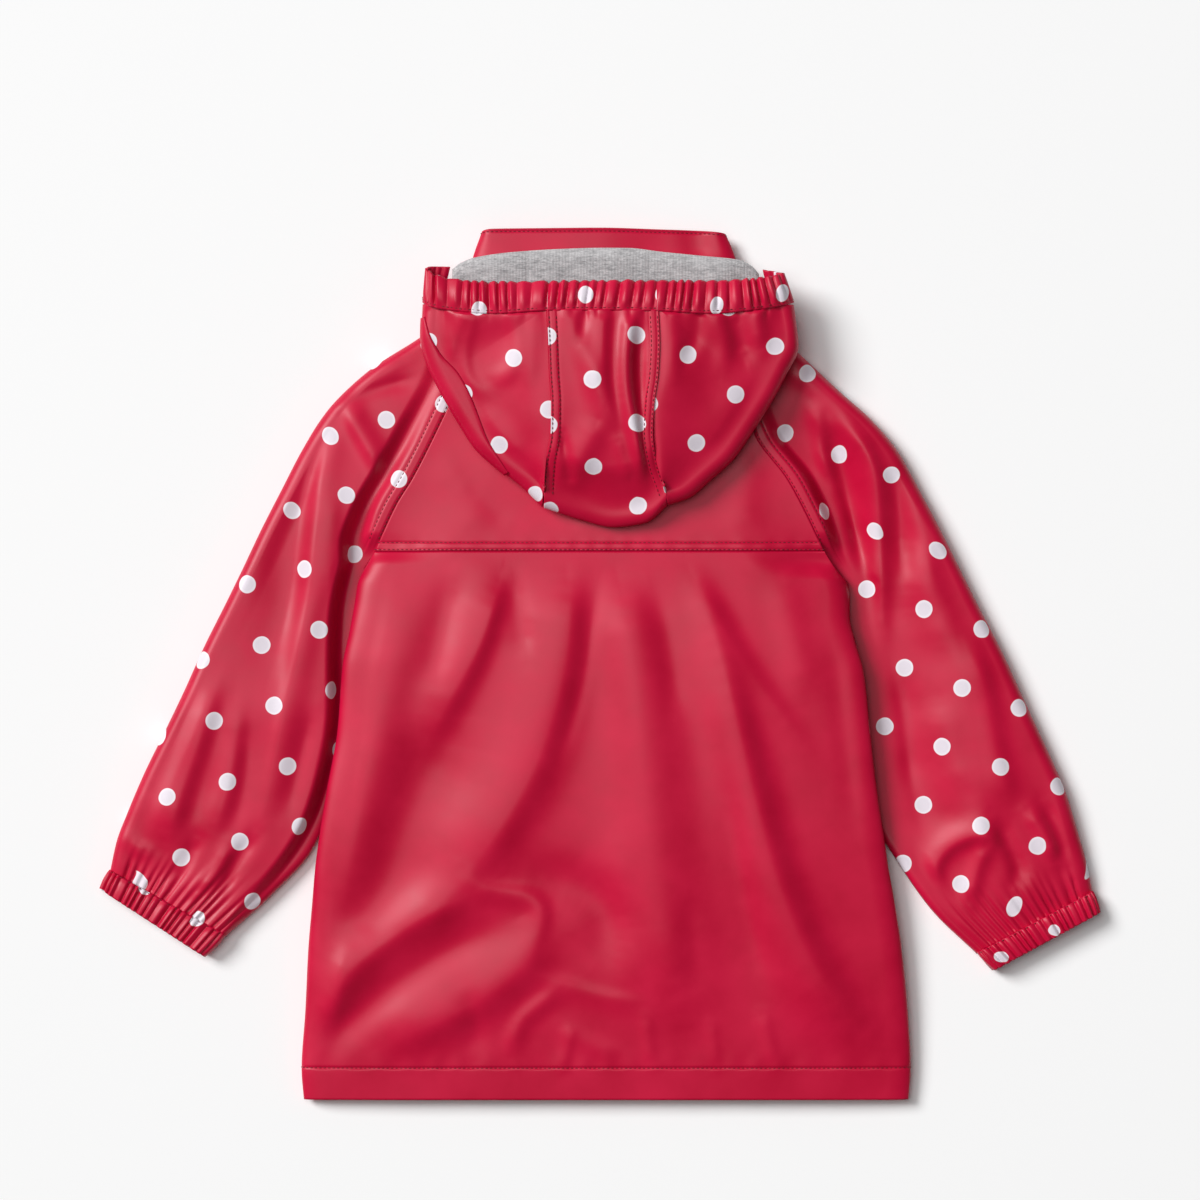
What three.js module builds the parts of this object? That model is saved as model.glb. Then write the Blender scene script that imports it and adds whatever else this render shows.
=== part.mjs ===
// A child's coated rain jacket, laid flat with its back up and its hood folded back.
// Units are millimetres. +X is the wearer's right, +Y points to the collar and +Z away from the table.
// The front panels rest on z = 0. Every piece is one wall of cloth, 0.3 mm from the next at its seams.

import * as THREE from 'three';

// Driving dimensions
const CLOTH = 1.2; // wall of the coated cloth
const CASING_CLOTH = 2.2; // two layers and the elastic between them
const SEAM_GAP = 0.3;
const UNDERARM_GAP = 0.36; // from the underarm seam's line to each layer of the sleeve
const ARMPIT_DROP = 0.9; // the under layer of the sleeve lies lower at the armpit
const CUFF_LEAD = 0.75; // how far a cuff starts from the end of its sleeve
const HEM_DEPTH = 20;
const HEM_EXTRA = 0.7; // the turned-up hem is thicker
const HEM_Y = -290.7;
const YOKE_SEAM_Y = 75.4;
const YOKE_BAND = 5; // raised band along the lower edge of the yoke
const YOKE_BAND_RISE = 0.6;
const SIDE_ROUND = 15; // radius of the round side fold, seen from above
const ARMPIT_FADE = 16;
const LEFT_ARMPIT_Y = 64;
const RIGHT_ARMPIT_Y = 54;
const NECK_Y = 236;
const BACK_NECK_DROP = 5.5;
const FRONT_NECK_DROP = 46;
const PLACKET = 12; // half width of the front overlap
const UNDER_Z = 1.6; // the outer face of the lower overlap and of the upper one
const OVER_Z = 3.9;
const STUD_RADIUS = 7.5;
const STUD_HEIGHT = 1.3;
const CUFF_GATHERS = 22;
const CUFF_GATHER_DEPTH = 1.3;
const MOUTH_GATHERS = 34;
const MOUTH_GATHER_DEPTH = 1.2;
const HOOD_ROLL = 9; // radius of the rolled hood rim, seen from above
const HOOD_RIM_TOP = 37;
const HOOD_FAR_Z = 22.3;
const LINING_ROLL = 9;

// The side of the body from hem to neck: below the armpit the side fold, above it the raglan seam.
// z is the height of the back panel's edge, lift that of the front panel above the table there.
const LEFT_SIDE = [
  { y: -291, x: -197.8, z: 6, lift: 0 },
  { y: -271, x: -199.3, z: 6.5, lift: 0 },
  { y: -231, x: -196.7, z: 8, lift: 0 },
  { y: -191, x: -194.7, z: 9.5, lift: 0 },
  { y: -160, x: -192.0, z: 11.5, lift: 1 },
  { y: -135, x: -189.7, z: 14, lift: 8.6 },
  { y: -115, x: -187.0, z: 15, lift: 10 },
  { y: -84, x: -182.0, z: 15.5, lift: 10.5 },
  { y: -43, x: -174.7, z: 15.5, lift: 10.5 },
  { y: -1, x: -171.5, z: 15.5, lift: 10.5 },
  { y: 22, x: -166.8, z: 15, lift: 10.5 },
  { y: 40, x: -163.6, z: 13.5, lift: 10.3 },
  { y: 54, x: -161.4, z: 12.2, lift: 9.6 },
  { y: 64, x: -156.8, z: 11, lift: 8.8 },
  { y: 70, x: -153.2, z: 12, lift: 8.2 },
  { y: 76.7, x: -149.3, z: 13.5, lift: 6 },
  { y: 89.5, x: -143.5, z: 15.5, lift: 3 },
  { y: 107, x: -135, z: 16.5, lift: 0.8 },
  { y: 123, x: -125, z: 17, lift: 0 },
  { y: 173, x: -100, z: 16.5, lift: 0 },
  { y: 209, x: -83, z: 15.5, lift: 0 },
  { y: 236, x: -73, z: 14.5, lift: 0 },
];
const RIGHT_SIDE = [
  { y: -291, x: 206.0, z: 7, lift: 0 },
  { y: -271, x: 207.3, z: 8, lift: 0 },
  { y: -231, x: 205.3, z: 10, lift: 0 },
  { y: -191, x: 201.3, z: 12, lift: 0 },
  { y: -160, x: 196.5, z: 14, lift: 1 },
  { y: -135, x: 192.0, z: 16, lift: 8.6 },
  { y: -115, x: 189.0, z: 17.5, lift: 10 },
  { y: -84, x: 184.2, z: 18.5, lift: 10.5 },
  { y: -43, x: 179.4, z: 19, lift: 10.5 },
  { y: -7, x: 175.7, z: 19, lift: 10.5 },
  { y: 15, x: 169.7, z: 18, lift: 10.5 },
  { y: 32, x: 166.2, z: 15.5, lift: 10.3 },
  { y: 44, x: 166.4, z: 12.8, lift: 9.6 },
  { y: 54, x: 164.6, z: 11, lift: 8.8 },
  { y: 61, x: 159.0, z: 12.5, lift: 8.2 },
  { y: 72.7, x: 150.7, z: 15, lift: 5 },
  { y: 82, x: 146.0, z: 17, lift: 3 },
  { y: 102, x: 136.4, z: 18, lift: 0.8 },
  { y: 123.6, x: 124.5, z: 18, lift: 0 },
  { y: 150, x: 104.7, z: 17.5, lift: 0 },
  { y: 195, x: 88, z: 16, lift: 0 },
  { y: 236, x: 74, z: 14.5, lift: 0 },
];

// Height of the back panel along its middle
const CROWN = [
  { y: -291, z: 12 },
  { y: -271, z: 13.5 },
  { y: -200, z: 19 },
  { y: -100, z: 24 },
  { y: 0, z: 25 },
  { y: 60, z: 23 },
  { y: 78, z: 21.5 },
  { y: 110, z: 19.5 },
  { y: 173, z: 18.5 },
  { y: 236, z: 15.5 },
];

// Stations of a sleeve from the neck to the cuff. inner is the raglan seam and then the underarm seam,
// outer the outer fold, seen from above. trough is the height beside the body and crown the top.
// strip is the width of cloth beside the raglan seam that stays as high as the back.
const ARMPIT_STATION = 7;
const SLEEVE_COLUMNS = ['k', 'innerX', 'innerY', 'outerX', 'outerY', 'trough', 'crown', 'strip', 'edge'];
const withColumns = (columns, rows) => rows
  .map((row) => Object.fromEntries(row.map((value, i) => [columns[i], value])));
const LEFT_SLEEVE = withColumns(SLEEVE_COLUMNS, [
  [0, -73, 236, -86, 245, 14, 14.5, 1, 0],
  [1, -83, 209, -118.7, 219, 14.5, 15.5, 6, 0],
  [2, -100, 173, -154, 196, 14, 16.5, 8, 0],
  [3, -113, 147, -182, 169, 13, 18, 8, 0],
  [4, -125, 123, -198.7, 143, 12, 19, 9, 0],
  [5, -134, 105, -212.7, 116, 11, 20, 9, 0],
  [6, -145, 86, -226, 90, 9, 20, 7, 0],
  [7, -157, 64, -239, 62.5, 8, 20, 1, 7.6],
  [8, -158, 38, -250, 40, 7.5, 20, 2, 5.2],
  [9, -160, 8, -264, 12, 7.5, 20, 4, 5],
  [10, -164, -26, -278, -19, 7.5, 20, 6, 5],
  [11, -170, -60, -291.5, -47, 7.5, 19, 8, 5],
  [12, -179, -94, -303.8, -72, 7.8, 18, 6, 5],
  [13, -192.5, -124.5, -315, -98, 9, 17, 1, 5.5],
  [14, -219, -154, -323, -119, 10, 15, 0, 5.5],
  [15, -249.5, -181.5, -327.3, -138.3, 10, 12, 0, 5.5],
]);
const RIGHT_SLEEVE = withColumns(SLEEVE_COLUMNS, [
  [0, 74, 236, 92, 246, 14, 14.5, 1, 0],
  [1, 83, 209, 131, 209, 14, 15.5, 6, 0],
  [2, 96, 173, 158.7, 183, 12, 16.5, 8, 0],
  [3, 107, 147, 182, 162, 10, 18, 8, 0],
  [4, 124.5, 123, 198, 143, 8, 19, 8, 0],
  [5, 135, 105, 213.3, 116, 7.5, 19, 8, 0],
  [6, 144, 86, 227, 90, 7.5, 19, 6, 0],
  [7, 165, 54, 244, 56, 7.5, 18, 1, 7.6],
  [8, 162, 28, 255, 34, 7.5, 18, 6, 5.2],
  [9, 165, -4, 269, 7, 7.5, 18, 10, 5],
  [10, 169, -38, 284, -26, 7.5, 18, 12, 5],
  [11, 174, -72, 298.5, -57, 7.5, 18, 12, 5],
  [12, 182, -104, 311, -86, 7.8, 18, 9, 5],
  [13, 197, -129.5, 318.5, -110, 9, 17, 1, 5.5],
  [14, 222, -165, 325, -133, 10, 15, 0, 5.5],
  [15, 251.3, -193.3, 329, -152.3, 10, 12, 0, 5.5],
]);

// The lower edge of each cuff
const LEFT_CUFF_EDGE = { innerX: -263.7, innerY: -195.3, outerX: -333.6, outerY: -150 };
const RIGHT_CUFF_EDGE = { innerX: 262, innerY: -204.7, outerX: 333.7, outerY: -165.8 };

// Folds of the cloth: a crest or trough along a path, with its width on each side (looking along the path)
// and its height in the middle. Each fades out at both ends.
const BODY_FOLDS = [
  { path: [[-66, 58], [-88, 5], [-120, -58]], left: 11, right: 17, height: 5 },
  { path: [[-4, 58], [-20, 5], [-42, -62], [-64, -112], [-100, -160]], left: 13, right: 30, height: 6.5 },
  { path: [[26, 58], [36, -5], [45, -80], [52, -140], [62, -225]], left: 20, right: 24, height: 4 },
  { path: [[48, 64], [88, -20], [119, -105], [146, -190], [180, -255]], left: 11, right: 26, height: 5.5 },
  { path: [[-150, 45], [-152, -30], [-165, -135], [-180, -200]], left: 15, right: 18, height: 4 },
  { path: [[-96, -147], [-135, -175], [-174, -212], [-196, -242]], left: 8, right: 18, height: 5 },
  { path: [[-40, -158], [-66, -192], [-112, -230], [-172, -262]], left: 13, right: 24, height: 4.5 },
];
const LEFT_SLEEVE_FOLDS = [
  { path: [[-168, 176], [-140, 190], [-118, 203]], left: 7, right: 7, height: 2.5 },
  { path: [[-170, 172], [-150, 145], [-137, 117]], left: 8, right: 8, height: 2.5 },
  { path: [[-226, 65], [-214, 9], [-228, -30]], left: 9, right: 9, height: -4.5 },
  { path: [[-197, 65], [-203, 2], [-222, -60], [-236, -156]], left: 12, right: 10, height: 4 },
  { path: [[-257, -30], [-282, -93], [-292, -140]], left: 10, right: 10, height: -4 },
  { path: [[-213, -62], [-222, -110]], left: 8, right: 8, height: -3 },
];
const RIGHT_SLEEVE_FOLDS = [
  { path: [[124, 181], [166, 160], [194, 143], [198, 100]], left: 9, right: 7, height: 3 },
  { path: [[163, 140], [169, 85], [177, 54]], left: 8, right: 8, height: -3.5 },
  { path: [[178, 138], [184, 85], [189, 42]], left: 8, right: 8, height: 3.5 },
  { path: [[193, 130], [201, 57]], left: 8, right: 8, height: -3 },
  { path: [[252, -25], [262, -66]], left: 7, right: 7, height: -2.5 },
  { path: [[226, -130], [232, -120], [254, -112]], left: 7, right: 7, height: 2.5 },
];
const HOOD_FOLDS = [
  { path: [[-22, 228], [-15, 198]], left: 5, right: 6, height: -3 },
  { path: [[26, 228], [12, 190], [9, 160], [15, 140]], left: 7, right: 7, height: 4 },
  { path: [[26, 192], [29, 166], [31, 120]], left: 6, right: 6, height: -5 },
  { path: [[-3, 159], [-4, 130]], left: 7, right: 7, height: -3 },
  { path: [[-24, 148], [-18, 128]], left: 5, right: 5, height: -2.5 },
  { path: [[88, 228], [95, 206]], left: 7, right: 7, height: -3 },
];

// Seams of the hood's centre panel on the near side
const HOOD_SEAMS = [
  { y: 90, left: -36, right: 47 },
  { y: 106, left: -36.2, right: 46 },
  { y: 116, left: -36.5, right: 43 },
  { y: 133, left: -35.3, right: 37.2 },
  { y: 153, left: -31.9, right: 34.3 },
  { y: 173, left: -31.6, right: 35.4 },
  { y: 192, left: -32.7, right: 38 },
  { y: 212, left: -33.4, right: 38.9 },
  { y: 235, left: -34.4, right: 37.9 },
];
const HOOD_SEAM_HEIGHT = [
  { y: 90, z: 38 },
  { y: 118, z: 41 },
  { y: 130, z: 43 },
  { y: 150, z: 46 },
  { y: 173, z: 48 },
  { y: 200, z: 48.5 },
  { y: 235, z: 47 },
];
const HOOD_FAR_SEAM = { left: -33, right: 36 };
const HOOD_ROLLED_SEAM = { left: -36.6, right: 44.5 };
const HOOD_FAR_TOP = 259;
const HOOD_BOTTOM = [
  { f: 0, y: 104 },
  { f: 0.3, y: 96 },
  { f: 0.55, y: 91.3 },
  { f: 0.8, y: 94 },
  { f: 1, y: 105.5 },
];

// A side panel of the hood, from the bottom of its seam to the end of the mouth. near is its edge on the
// near layer (the seam up to corner, then the mouth), rim the rolled outline, far its edge on the far layer.
const HOOD_CORNER = 6;
const HOOD_LEFT = [
  { k: 0, nearX: -36.5, nearY: 118, rimX: -38.4, rimY: 104.2, farY: 120, nearZ: 41 },
  { k: 1, nearX: -36, nearY: 130, rimX: -52, rimY: 117.5, farY: 134, nearZ: 43 },
  { k: 2, nearX: -32, nearY: 150, rimX: -68.7, rimY: 130.7, farY: 158, nearZ: 46 },
  { k: 3, nearX: -32, nearY: 173, rimX: -82, rimY: 143, farY: 182, nearZ: 48 },
  { k: 4, nearX: -33, nearY: 195, rimX: -92, rimY: 158, farY: 210, nearZ: 48.5 },
  { k: 5, nearX: -34, nearY: 215, rimX: -100, rimY: 171.5, farY: 236, nearZ: 48 },
  { k: 6, nearX: -34.7, nearY: 234.3, rimX: -108, rimY: 186, farX: -33, farY: 259, nearZ: 47 },
  { k: 7, nearX: -62, nearY: 232.5, rimX: -114.8, rimY: 201, farX: -58, farY: 259, nearZ: 46 },
  { k: 8, nearX: -88, nearY: 233.8, rimX: -118.4, rimY: 218, farX: -82, farY: 257, nearZ: 43 },
  { k: 9, nearX: -106, nearY: 236.6, rimX: -117.6, rimY: 238.5, farX: -101, farY: 252, nearZ: 38.5 },
];
const HOOD_RIGHT = [
  { k: 0, nearX: 43, nearY: 118, rimX: 48.6, rimY: 106.2, farY: 120, nearZ: 41 },
  { k: 1, nearX: 38, nearY: 130, rimX: 58.5, rimY: 110, farY: 134, nearZ: 43.2 },
  { k: 2, nearX: 35, nearY: 150, rimX: 74, rimY: 122.5, farY: 158, nearZ: 46 },
  { k: 3, nearX: 35.5, nearY: 173, rimX: 88, rimY: 135.3, farY: 182, nearZ: 48 },
  { k: 4, nearX: 38, nearY: 195, rimX: 98, rimY: 149, farY: 210, nearZ: 48.5 },
  { k: 5, nearX: 39, nearY: 215, rimX: 106.5, rimY: 162, farY: 236, nearZ: 48 },
  { k: 6, nearX: 38.6, nearY: 234.3, rimX: 115.3, rimY: 176.3, farX: 36, farY: 259, nearZ: 47 },
  { k: 7, nearX: 66, nearY: 232.7, rimX: 123.5, rimY: 192, farX: 60, farY: 259, nearZ: 46 },
  { k: 8, nearX: 92, nearY: 233.9, rimX: 131.6, rimY: 211, farX: 86, farY: 257, nearZ: 43 },
  { k: 9, nearX: 116, nearY: 237.6, rimX: 128.6, rimY: 238, farX: 109, farY: 252, nearZ: 38.5 },
];

// The elastic casing of the hood's mouth, from the far layer round the left rim, over the near layer and
// round the right rim. stitch is its seam to the panels, edge its free edge.
const MOUTH_CASING = [
  { k: 0, stitchX: -103, stitchY: 253.2, stitchZ: 22.6, edgeX: -100, edgeY: 264, edgeZ: 25 },
  { k: 1, stitchX: -113, stitchY: 246.6, stitchZ: 24.6, edgeX: -111, edgeY: 264, edgeZ: 27 },
  { k: 2, stitchX: -117.8, stitchY: 240.4, stitchZ: 30.5, edgeX: -115.3, edgeY: 262.4, edgeZ: 32 },
  { k: 3, stitchX: -112.5, stitchY: 238.4, stitchZ: 37, edgeX: -110.5, edgeY: 258.5, edgeZ: 37 },
  { k: 4, stitchX: -98, stitchY: 235.8, stitchZ: 41, edgeX: -95, edgeY: 254.5, edgeZ: 39.5 },
  { k: 5, stitchX: -68.7, stitchY: 233.5, stitchZ: 45.4, edgeX: -70, edgeY: 252.7, edgeZ: 41.5 },
  { k: 6, stitchX: -35, stitchY: 235.4, stitchZ: 47, edgeX: -35, edgeY: 252.9, edgeZ: 43 },
  { k: 7, stitchX: 0, stitchY: 235.6, stitchZ: 47.4, edgeX: 0, edgeY: 253.4, edgeZ: 43.5 },
  { k: 8, stitchX: 38, stitchY: 235.2, stitchZ: 47, edgeX: 38, edgeY: 253.4, edgeZ: 43 },
  { k: 9, stitchX: 72, stitchY: 233.5, stitchZ: 45.2, edgeX: 72, edgeY: 253.4, edgeZ: 41.5 },
  { k: 10, stitchX: 104, stitchY: 236.4, stitchZ: 41, edgeX: 101, edgeY: 255, edgeZ: 39.5 },
  { k: 11, stitchX: 122.5, stitchY: 239.4, stitchZ: 37, edgeX: 117.5, edgeY: 257.8, edgeZ: 37 },
  { k: 12, stitchX: 128.6, stitchY: 240, stitchZ: 30.5, edgeX: 122.3, edgeY: 258.9, edgeZ: 32 },
  { k: 13, stitchX: 122, stitchY: 245.6, stitchZ: 24.6, edgeX: 117, edgeY: 260.5, edgeZ: 27 },
  { k: 14, stitchX: 111, stitchY: 253.2, stitchZ: 22.6, edgeX: 108, edgeY: 262, edgeZ: 25 },
];

// The top of the grey lining, where it rolls over the neck
const LINING_TOP = [
  { x: -98, y: 262.5 },
  { x: -93, y: 266.5 },
  { x: -84, y: 270 },
  { x: -58.7, y: 273.7 },
  { x: -29, y: 275.7 },
  { x: 0, y: 276.6 },
  { x: 19, y: 276.5 },
  { x: 41, y: 273.9 },
  { x: 68.5, y: 271.2 },
  { x: 92, y: 268.7 },
  { x: 101, y: 264.5 },
  { x: 105.5, y: 259.5 },
];
const LINING_DEEP_Y = 200; // where the lining ends, out of sight
const LINING_NECK_Y = 243;
const LINING_SEAT_Z = 15.75; // where it is sewn to the foot of the collar

// The stand collar, a ring pressed flat: base is its neck seam, top its upper edge
const COLLAR = [
  { k: 0, baseX: 12, baseY: 190.4, baseZ: 3.9, topX: 12, topY: 244, topZ: 3.9 },
  { k: 1, baseX: -13, baseY: 190.4, baseZ: 3.9, topX: -13, topY: 244.5, topZ: 3.9 },
  { k: 2, baseX: -32, baseY: 196.5, baseZ: 0.1, topX: -33, topY: 251, topZ: 0.6 },
  { k: 3, baseX: -56, baseY: 214.5, baseZ: 0, topX: -58, topY: 266, topZ: 1 },
  { k: 4, baseX: -73.9, baseY: 237.6, baseZ: 0.8, topX: -74, topY: 281, topZ: 2.5 },
  { k: 5, baseX: -86.8, baseY: 246.4, baseZ: 7.5, topX: -79, topY: 288, topZ: 8.5 },
  { k: 6, baseX: -73.9, baseY: 237.6, baseZ: 14.4, topX: -73, topY: 290, topZ: 14 },
  { k: 7, baseX: -40, baseY: 233.4, baseZ: 15.2, topX: -40, topY: 290.4, topZ: 14.6 },
  { k: 8, baseX: 0, baseY: 231.2, baseZ: 15.5, topX: 0, topY: 290.7, topZ: 15 },
  { k: 9, baseX: 40, baseY: 233.4, baseZ: 15.2, topX: 38, topY: 289.8, topZ: 14.6 },
  { k: 10, baseX: 74.9, baseY: 237.6, baseZ: 14.4, topX: 70, topY: 288.7, topZ: 14 },
  { k: 11, baseX: 92.8, baseY: 247.4, baseZ: 7.5, topX: 84, topY: 286.5, topZ: 8.5 },
  { k: 12, baseX: 74.9, baseY: 237.6, baseZ: 0.8, topX: 77, topY: 280, topZ: 2.5 },
  { k: 13, baseX: 56, baseY: 214.5, baseZ: 0, topX: 58, topY: 265, topZ: 1 },
  { k: 14, baseX: 32, baseY: 196.5, baseZ: 0, topX: 33, topY: 250.5, topZ: 0.6 },
  { k: 15, baseX: 13, baseY: 190.4, baseZ: 1.6, topX: 13, topY: 244, topZ: 1.6 },
  { k: 16, baseX: -12, baseY: 189.8, baseZ: 1.6, topX: -12, topY: 243.5, topZ: 1.6 },
];
const COLLAR_BULGE = 3;
const COLLAR_FRONT_END = 4; // rows at each end whose base follows the front neckline

// Heights at which the panels and the sleeves have a row of points in common along the raglan seams
const RAGLAN_ROWS = [86, 105, 123, 147, 173, 209, 236];
const SLEEVE_ROWS = [0, 1, 2, 3, 4, 5, 6, 6.5, 7, 7.5, 8, 9, 10, 11, 12, 13, 13.7, 14.4, 15];

const STUD_ROWS = [-245, -155, -65, 25, 115];

const LEFT = { name: 'left', sign: -1, side: LEFT_SIDE, sleeve: LEFT_SLEEVE, cuff: LEFT_CUFF_EDGE,
  folds: LEFT_SLEEVE_FOLDS, armpit: LEFT_ARMPIT_Y };
const RIGHT = { name: 'right', sign: 1, side: RIGHT_SIDE, sleeve: RIGHT_SLEEVE, cuff: RIGHT_CUFF_EDGE,
  folds: RIGHT_SLEEVE_FOLDS, armpit: RIGHT_ARMPIT_Y };

const CLOTH_RED = new THREE.MeshStandardMaterial({ color: 0xcc344e, roughness: 0.45, metalness: 0 });
const CLOTH_DOTTED = new THREE.MeshStandardMaterial({ color: 0xc82f48, roughness: 0.45, metalness: 0 });
const JERSEY_GREY = new THREE.MeshStandardMaterial({ color: 0xb6afaf, roughness: 0.95, metalness: 0 });
const STUD_METAL = new THREE.MeshStandardMaterial({ color: 0xb8b8bc, roughness: 0.3, metalness: 1 });

const lerp = THREE.MathUtils.lerp;
const clamp = THREE.MathUtils.clamp;
const smooth = (value, from, to) => THREE.MathUtils.smoothstep(value, from, to);
const quarter = (t) => Math.sqrt(1 - (1 - clamp(t, 0, 1)) ** 2);

// Reads a column of a table at any key, on a smooth curve that never swings past its rows.
function lookUp(table, key, value, column) {
  const last = table.length - 1;
  const at = clamp(value, table[0][key], table[last][key]);
  let row = 0;
  while (row < last - 1 && table[row + 1][key] < at) {
    row += 1;
  }
  const step = (i) => table[i + 1][key] - table[i][key];
  const slope = (i) => (table[i + 1][column] - table[i][column]) / step(i);
  const tangent = (i) => {
    if (i === 0) {
      return slope(0);
    }
    if (i === last) {
      return slope(last - 1);
    }
    const before = slope(i - 1);
    const after = slope(i);
    return before * after <= 0 ? 0 : (2 * before * after) / (before + after);
  };
  const width = step(row);
  const t = (at - table[row][key]) / width;
  const t2 = t * t;
  const t3 = t2 * t;
  return (2 * t3 - 3 * t2 + 1) * table[row][column] + (t3 - 2 * t2 + t) * width * tangent(row)
    + (3 * t2 - 2 * t3) * table[row + 1][column] + (t3 - t2) * width * tangent(row + 1);
}

// Height that the folds add at a point.
function foldHeight(folds, x, y) {
  let total = 0;
  for (const fold of folds) {
    const lengths = [0];
    for (let i = 1; i < fold.path.length; i += 1) {
      const [ax, ay] = fold.path[i - 1];
      const [bx, by] = fold.path[i];
      lengths.push(lengths[i - 1] + Math.hypot(bx - ax, by - ay));
    }
    const whole = lengths[lengths.length - 1];
    let nearest = { distance: Infinity, along: 0, side: 1 };
    for (let i = 1; i < fold.path.length; i += 1) {
      const [ax, ay] = fold.path[i - 1];
      const [bx, by] = fold.path[i];
      const length = lengths[i] - lengths[i - 1];
      const dx = (bx - ax) / length;
      const dy = (by - ay) / length;
      const t = clamp((x - ax) * dx + (y - ay) * dy, 0, length);
      const distance = Math.hypot(x - ax - dx * t, y - ay - dy * t);
      if (distance < nearest.distance) {
        const side = Math.sign(dx * (y - ay) - dy * (x - ax));
        nearest = { distance, along: (lengths[i - 1] + t) / whole, side };
      }
    }
    const width = nearest.side > 0 ? fold.left : fold.right;
    const fade = Math.sin(Math.PI * clamp(nearest.along, 0.02, 0.98)) ** 0.6;
    total += fold.height * fade * Math.exp(-((nearest.distance / width) ** 2));
  }
  return total;
}

// A closed wall of cloth under an outer surface at(u, v). Its outer face looks along dAt/du x dAt/dv.
function clothWall(at, columns, rows, thickness) {
  const EPSILON = 1e-3;
  const lastColumn = columns.length - 1;
  const lastRow = rows.length - 1;
  const positions = [];
  const inner = [];
  const wall = typeof thickness === 'function' ? thickness : () => thickness;
  for (const v of rows) {
    for (const u of columns) {
      const point = at(u, v);
      const alongU = at(Math.min(u + EPSILON, 1), v).sub(at(Math.max(u - EPSILON, 0), v));
      const alongV = at(u, Math.min(v + EPSILON, 1)).sub(at(u, Math.max(v - EPSILON, 0)));
      const normal = alongU.cross(alongV).normalize();
      positions.push(point.x, point.y, point.z);
      const deep = point.clone().addScaledVector(normal, -wall(u, v));
      inner.push(deep.x, deep.y, deep.z);
    }
  }
  const count = columns.length * rows.length;
  const outerIndex = (i, j) => j * columns.length + i;
  const innerIndex = (i, j) => count + outerIndex(i, j);
  const triangles = [];
  const quad = (a, b, c, d) => triangles.push(a, b, c, a, c, d);
  for (let j = 0; j < lastRow; j += 1) {
    for (let i = 0; i < lastColumn; i += 1) {
      quad(outerIndex(i, j), outerIndex(i + 1, j), outerIndex(i + 1, j + 1), outerIndex(i, j + 1));
      quad(innerIndex(i, j), innerIndex(i, j + 1), innerIndex(i + 1, j + 1), innerIndex(i + 1, j));
    }
  }
  for (let i = 0; i < lastColumn; i += 1) {
    quad(outerIndex(i + 1, 0), outerIndex(i, 0), innerIndex(i, 0), innerIndex(i + 1, 0));
    quad(outerIndex(i, lastRow), outerIndex(i + 1, lastRow), innerIndex(i + 1, lastRow),
      innerIndex(i, lastRow));
  }
  for (let j = 0; j < lastRow; j += 1) {
    quad(outerIndex(0, j), outerIndex(0, j + 1), innerIndex(0, j + 1), innerIndex(0, j));
    quad(outerIndex(lastColumn, j + 1), outerIndex(lastColumn, j), innerIndex(lastColumn, j),
      innerIndex(lastColumn, j + 1));
  }
  const geometry = new THREE.BufferGeometry();
  geometry.setAttribute('position', new THREE.Float32BufferAttribute(positions.concat(inner), 3));
  geometry.setIndex(triangles);
  return geometry;
}

const steps = (count) => Array.from({ length: count + 1 }, (unused, i) => i / count);
const vector = (x, y, z) => new THREE.Vector3(x, y, z);

// Body

const sideX = (half, y) => lookUp(half.side, 'y', y, 'x');
const sideZ = (half, y) => lookUp(half.side, 'y', y, 'z');
const sideLift = (half, y) => lookUp(half.side, 'y', y, 'lift');
const foldedSide = (half, y) => 1 - smooth(y, half.armpit + 2, half.armpit + ARMPIT_FADE);

// Distance from the edge of a panel at q, from 0 to 1 across it: both ends follow a round fold.
const ROUND_SHARE = 3 / 22;
const FRONT_ROUND_SHARE = 3 / 16;
function across(q, width) {
  const round = (t) => SIDE_ROUND * (1 - Math.cos((t / ROUND_SHARE) * (Math.PI / 2)));
  if (q < ROUND_SHARE) {
    return round(q);
  }
  if (q > 1 - ROUND_SHARE) {
    return width - round(1 - q);
  }
  return lerp(SIDE_ROUND, width - SIDE_ROUND, (q - ROUND_SHARE) / (1 - 2 * ROUND_SHARE));
}

function backHeight(x, y) {
  const crown = lookUp(CROWN, 'y', y, 'z');
  let height = crown;
  let clear = 1;
  for (const half of [LEFT, RIGHT]) {
    const distance = Math.max((sideX(half, y) - x) * half.sign, 0);
    const folded = foldedSide(half, y);
    const rise = folded * quarter(distance / SIDE_ROUND) * 0.75 + folded * smooth(distance, 0, 70) * 0.25
      + (1 - folded) * smooth(distance, 0, 55);
    height -= (crown - sideZ(half, y)) * (1 - rise);
    clear *= smooth(distance, 2, 26);
  }
  const seamClear = smooth(YOKE_SEAM_Y - y, 0, 22);
  const hemClear = 0.35 + 0.65 * smooth(y, HEM_Y, HEM_Y + 60);
  return height + foldHeight(BODY_FOLDS, x, y) * clear * seamClear * hemClear;
}

function backBody(u, v) {
  const y = lerp(HEM_Y, YOKE_SEAM_Y - SEAM_GAP, v);
  const left = sideX(LEFT, y);
  const x = left + across(u, sideX(RIGHT, y) - left);
  return vector(x, y, backHeight(x, y) + SEAM_GAP / 2);
}

const hemWall = (v, length) => CLOTH + HEM_EXTRA * (1 - smooth(v * length, HEM_DEPTH - 1, HEM_DEPTH));

const neckCurve = (u) => Math.sin(Math.PI * u);

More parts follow.
